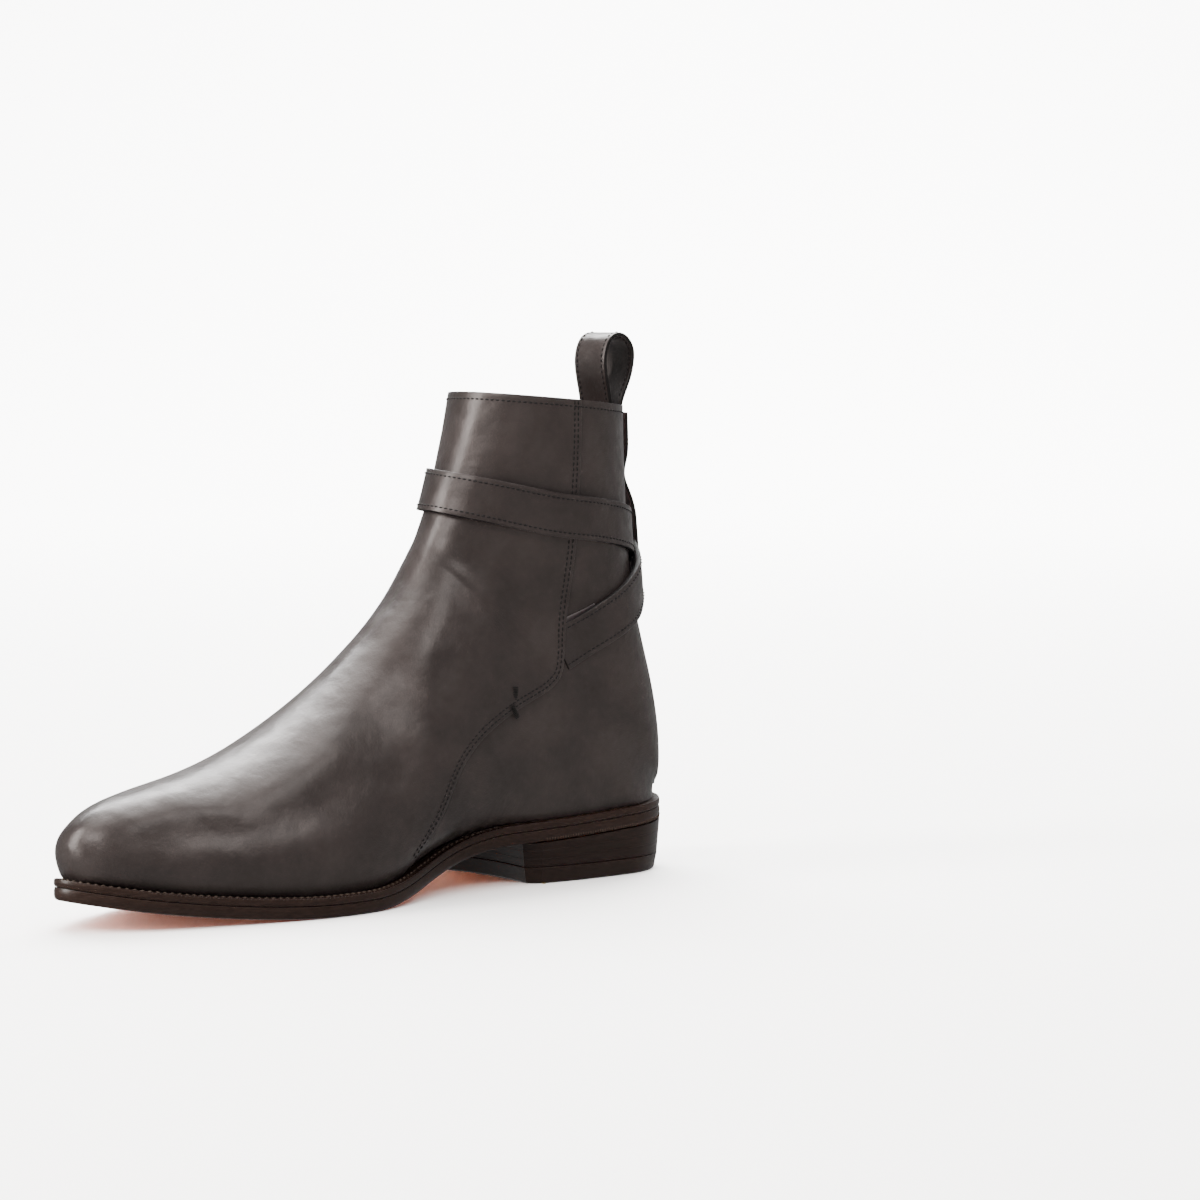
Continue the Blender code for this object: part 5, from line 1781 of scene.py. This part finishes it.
def make_heel():
    """Stack, top piece, rubber tip, pins and the marks round the heel."""
    stack = belong(make_heel_stack(paint("stack")), "sole_edge", "heel_stack")
    rows, inner, back = top_piece_parts()
    top = heel_solid("top_piece_leather", rows, [paint("sole_edge"), paint("sole")],
                     (inner, back), 1)
    belong(top, "sole_leather", "heel_top_piece")
    tip = heel_solid("rubber_corner", rows, [paint("rubber")], (inner + back * GAP, -back))
    belong(tip, "rubber", "heel_rubber_tip")
    pins = belong(make_pins(paint("brass")), "brass")
    ticks = belong(heel_ticks(paint("ticks")), "sole_edge")
    return stack, top, tip, pins, ticks


def light(name, spot, size, energy, colour, aim=LAMP_AIM):
    """A soft lamp, aimed at a point and not seen by the camera itself."""
    data = bpy.data.lights.new(name, "AREA")
    data.shape = "RECTANGLE"
    data.size, data.size_y = size
    data.energy = energy
    data.color = colour
    lamp = bpy.data.objects.new(name, data)
    lamp.location = spot
    way = Vector(aim) - Vector(spot)
    lamp.rotation_euler = way.to_track_quat("-Z", "Y").to_euler()
    lamp.visible_camera = False
    bpy.context.scene.collection.objects.link(lamp)
    return lamp


def make_backdrop():
    """A pale floor that curves up into a wall behind the boot."""
    turn = math.radians(CAMERA_YAW)
    ahead = Vector((math.cos(turn), math.sin(turn), 0))
    side = Vector((-ahead.y, ahead.x, 0))
    profile = [(away, 0.0) for away in BACKDROP_FRONT]
    for k in range(1, BACKDROP_STEPS + 1):
        bend = math.radians(90 * k / BACKDROP_STEPS)
        profile.append((BACKDROP_START + BACKDROP_ROUND * math.sin(bend),
                        BACKDROP_ROUND * (1 - math.cos(bend))))
    profile.append((BACKDROP_START + BACKDROP_ROUND, BACKDROP_HEIGHT))
    verts = [ahead * away + side * across + UP * up
             for away, up in profile for across in (-BACKDROP_SIDE, BACKDROP_SIDE)]
    faces = [(2 * k, 2 * k + 1, 2 * k + 3, 2 * k + 2) for k in range(len(profile) - 1)]
    floor = mesh_object("floor_and_wall", verts, faces, [paint("floor")], smooth=80)
    floor.visible_glossy = False
    return floor


def make_stage():
    """Backdrop, soft lights, pale world and the camera of the photograph."""
    make_backdrop()
    [light(*row) for row in LIGHTS]
    world = bpy.data.worlds.new("studio")
    world.use_nodes = True
    back = world.node_tree.nodes["Background"]
    back.inputs["Color"].default_value = (1.0, 1.0, 1.0, 1.0)
    back.inputs["Strength"].default_value = WORLD_LIGHT
    bpy.context.scene.world = world
    data = bpy.data.cameras.new("camera")
    data.sensor_width = SENSOR
    data.lens = CAMERA_LENS
    data.clip_end = CAMERA_FAR
    camera = bpy.data.objects.new("camera", data)
    camera.location = CAMERA_SPOT
    camera.rotation_euler = (math.radians(90 + CAMERA_PITCH), 0.0, math.radians(CAMERA_YAW - 90))
    bpy.context.scene.collection.objects.link(camera)
    bpy.context.scene.camera = camera


class BootLooks(bpy.types.PropertyGroup):
    """Colours and gloss of the boot."""

    calf: bpy.props.FloatVectorProperty(
        name="Calf", description="Colour of the upper's leather", subtype="COLOR",
        size=3, min=0.0, max=1.0, default=(0.0130, 0.0100, 0.0094))
    calf_rough: bpy.props.FloatProperty(
        name="Calf roughness", description="How matt the upper's leather is",
        subtype="FACTOR", min=0.0, max=1.0, default=0.34)
    lining: bpy.props.FloatVectorProperty(
        name="Lining", description="Colour of the lining leather", subtype="COLOR",
        size=3, min=0.0, max=1.0, default=(0.032, 0.0045, 0.0055))
    edge: bpy.props.FloatVectorProperty(
        name="Sole edge", description="Colour of the inked edges of sole, welt and heel",
        subtype="COLOR", size=3, min=0.0, max=1.0, default=(0.0100, 0.0044, 0.0026))
    sole: bpy.props.FloatVectorProperty(
        name="Sole", description="Colour of the polished underside", subtype="COLOR",
        size=3, min=0.0, max=1.0, default=(0.62, 0.135, 0.014))
    brass: bpy.props.FloatVectorProperty(
        name="Brass", description="Colour of the buckle and the heel's pins",
        subtype="COLOR", size=3, min=0.0, max=1.0, default=(0.62, 0.46, 0.20))
    floor: bpy.props.FloatVectorProperty(
        name="Floor", description="Colour of the backdrop", subtype="COLOR",
        size=3, min=0.0, max=1.0, default=(0.92, 0.915, 0.905))


class BootStitches(bpy.types.PropertyGroup):
    """Sizes of the upper's stitches."""

    pitch: bpy.props.FloatProperty(
        name="Pitch", description="From one stitch to the next", unit="LENGTH",
        min=0.0012, max=0.006, default=0.0023)
    long: bpy.props.FloatProperty(
        name="Length", description="Length of one stitch on the surface", unit="LENGTH",
        min=0.0008, max=0.005, default=0.0019)
    thick: bpy.props.FloatProperty(
        name="Thickness", description="Thickness of the thread", unit="LENGTH",
        min=0.0002, max=0.0015, default=0.00068)


def finished(made, words):
    """What an operator returns, once all that it made has faces."""
    need(all(len(piece.data.polygons) for piece in made), words)
    return {"FINISHED"}


class BOOT_OT_upper(bpy.types.Operator):
    """Make the quarters and the front panel"""

    bl_idname = "boot.upper"
    bl_label = "Upper"

    def execute(self, context):
        return finished(make_upper(), "The upper has no faces")


class BOOT_OT_seams(bpy.types.Operator):
    """Stitch the front panel's edge and the collar"""

    bl_idname = "boot.seams"
    bl_label = "Seams"

    def execute(self, context):
        return finished(make_seams(), "A seam has no stitches")


class BOOT_OT_straps(bpy.types.Operator):
    """Lay both straps round the leg"""

    bl_idname = "boot.straps"
    bl_label = "Straps"

    def execute(self, context):
        return finished(make_straps(), "A strap has no faces")


class BOOT_OT_buckle(bpy.types.Operator):
    """Set the buckle and its prong on the straps"""

    bl_idname = "boot.buckle"
    bl_label = "Buckle"

    def execute(self, context):
        return finished((make_frame(), make_prong()), "The buckle has no faces")


class BOOT_OT_back(bpy.types.Operator):
    """Lay the stay up the back and the pull loop over the collar"""

    bl_idname = "boot.back"
    bl_label = "Back stay and pull loop"

    def execute(self, context):
        return finished(make_loop() + make_stay(), "The back has no faces")


class BOOT_OT_sole(bpy.types.Operator):
    """Make the outsole, welt and insole with their stitches"""

    bl_idname = "boot.sole"
    bl_label = "Sole"

    def execute(self, context):
        return finished(make_sole(), "The sole has no faces")


class BOOT_OT_heel(bpy.types.Operator):
    """Make the heel with its top piece, rubber tip and pins"""

    bl_idname = "boot.heel"
    bl_label = "Heel"

    def execute(self, context):
        return finished(make_heel(), "The heel has no faces")


class BOOT_OT_stage(bpy.types.Operator):
    """Set the backdrop, the lights and the camera"""

    bl_idname = "boot.stage"
    bl_label = "Stage"

    def execute(self, context):
        make_stage()
        need(bpy.context.scene.camera is not None, "The stage has no camera")
        return {"FINISHED"}


OPERATORS = (BOOT_OT_upper, BOOT_OT_seams, BOOT_OT_straps, BOOT_OT_buckle, BOOT_OT_back,
             BOOT_OT_sole, BOOT_OT_heel, BOOT_OT_stage)


class BOOT_PT_panel(bpy.types.Panel):
    """Steps that dress the boot, with its colours and stitches"""

    bl_label = "Jodhpur boot"
    bl_idname = "BOOT_PT_panel"
    bl_space_type = "VIEW_3D"
    bl_region_type = "UI"
    bl_category = "Boot"

    def draw(self, context):
        for operator in OPERATORS:
            self.layout.operator(operator.bl_idname)
        for group in (context.scene.boot_looks, context.scene.boot_stitches):
            for name in group.__annotations__:
                self.layout.prop(group, name)


CLASSES = (BootLooks, BootStitches, *OPERATORS, BOOT_PT_panel)


def register():
    """Register the add-on's classes and its two groups of properties."""
    for made in CLASSES:
        bpy.utils.register_class(made)
    bpy.types.Scene.boot_looks = bpy.props.PointerProperty(type=BootLooks)
    bpy.types.Scene.boot_stitches = bpy.props.PointerProperty(type=BootStitches)


def unregister():
    """Take the add-on's classes and properties out again."""
    del bpy.types.Scene.boot_stitches
    del bpy.types.Scene.boot_looks
    for made in reversed(CLASSES):
        bpy.utils.unregister_class(made)


def main():
    """Dress the boot step by step."""
    register()
    bpy.ops.boot.upper()
    bpy.ops.boot.seams()
    bpy.ops.boot.straps()
    bpy.ops.boot.buckle()
    bpy.ops.boot.back()
    bpy.ops.boot.sole()
    bpy.ops.boot.heel()
    bpy.ops.boot.stage()


if __name__ == "__main__":
    main()
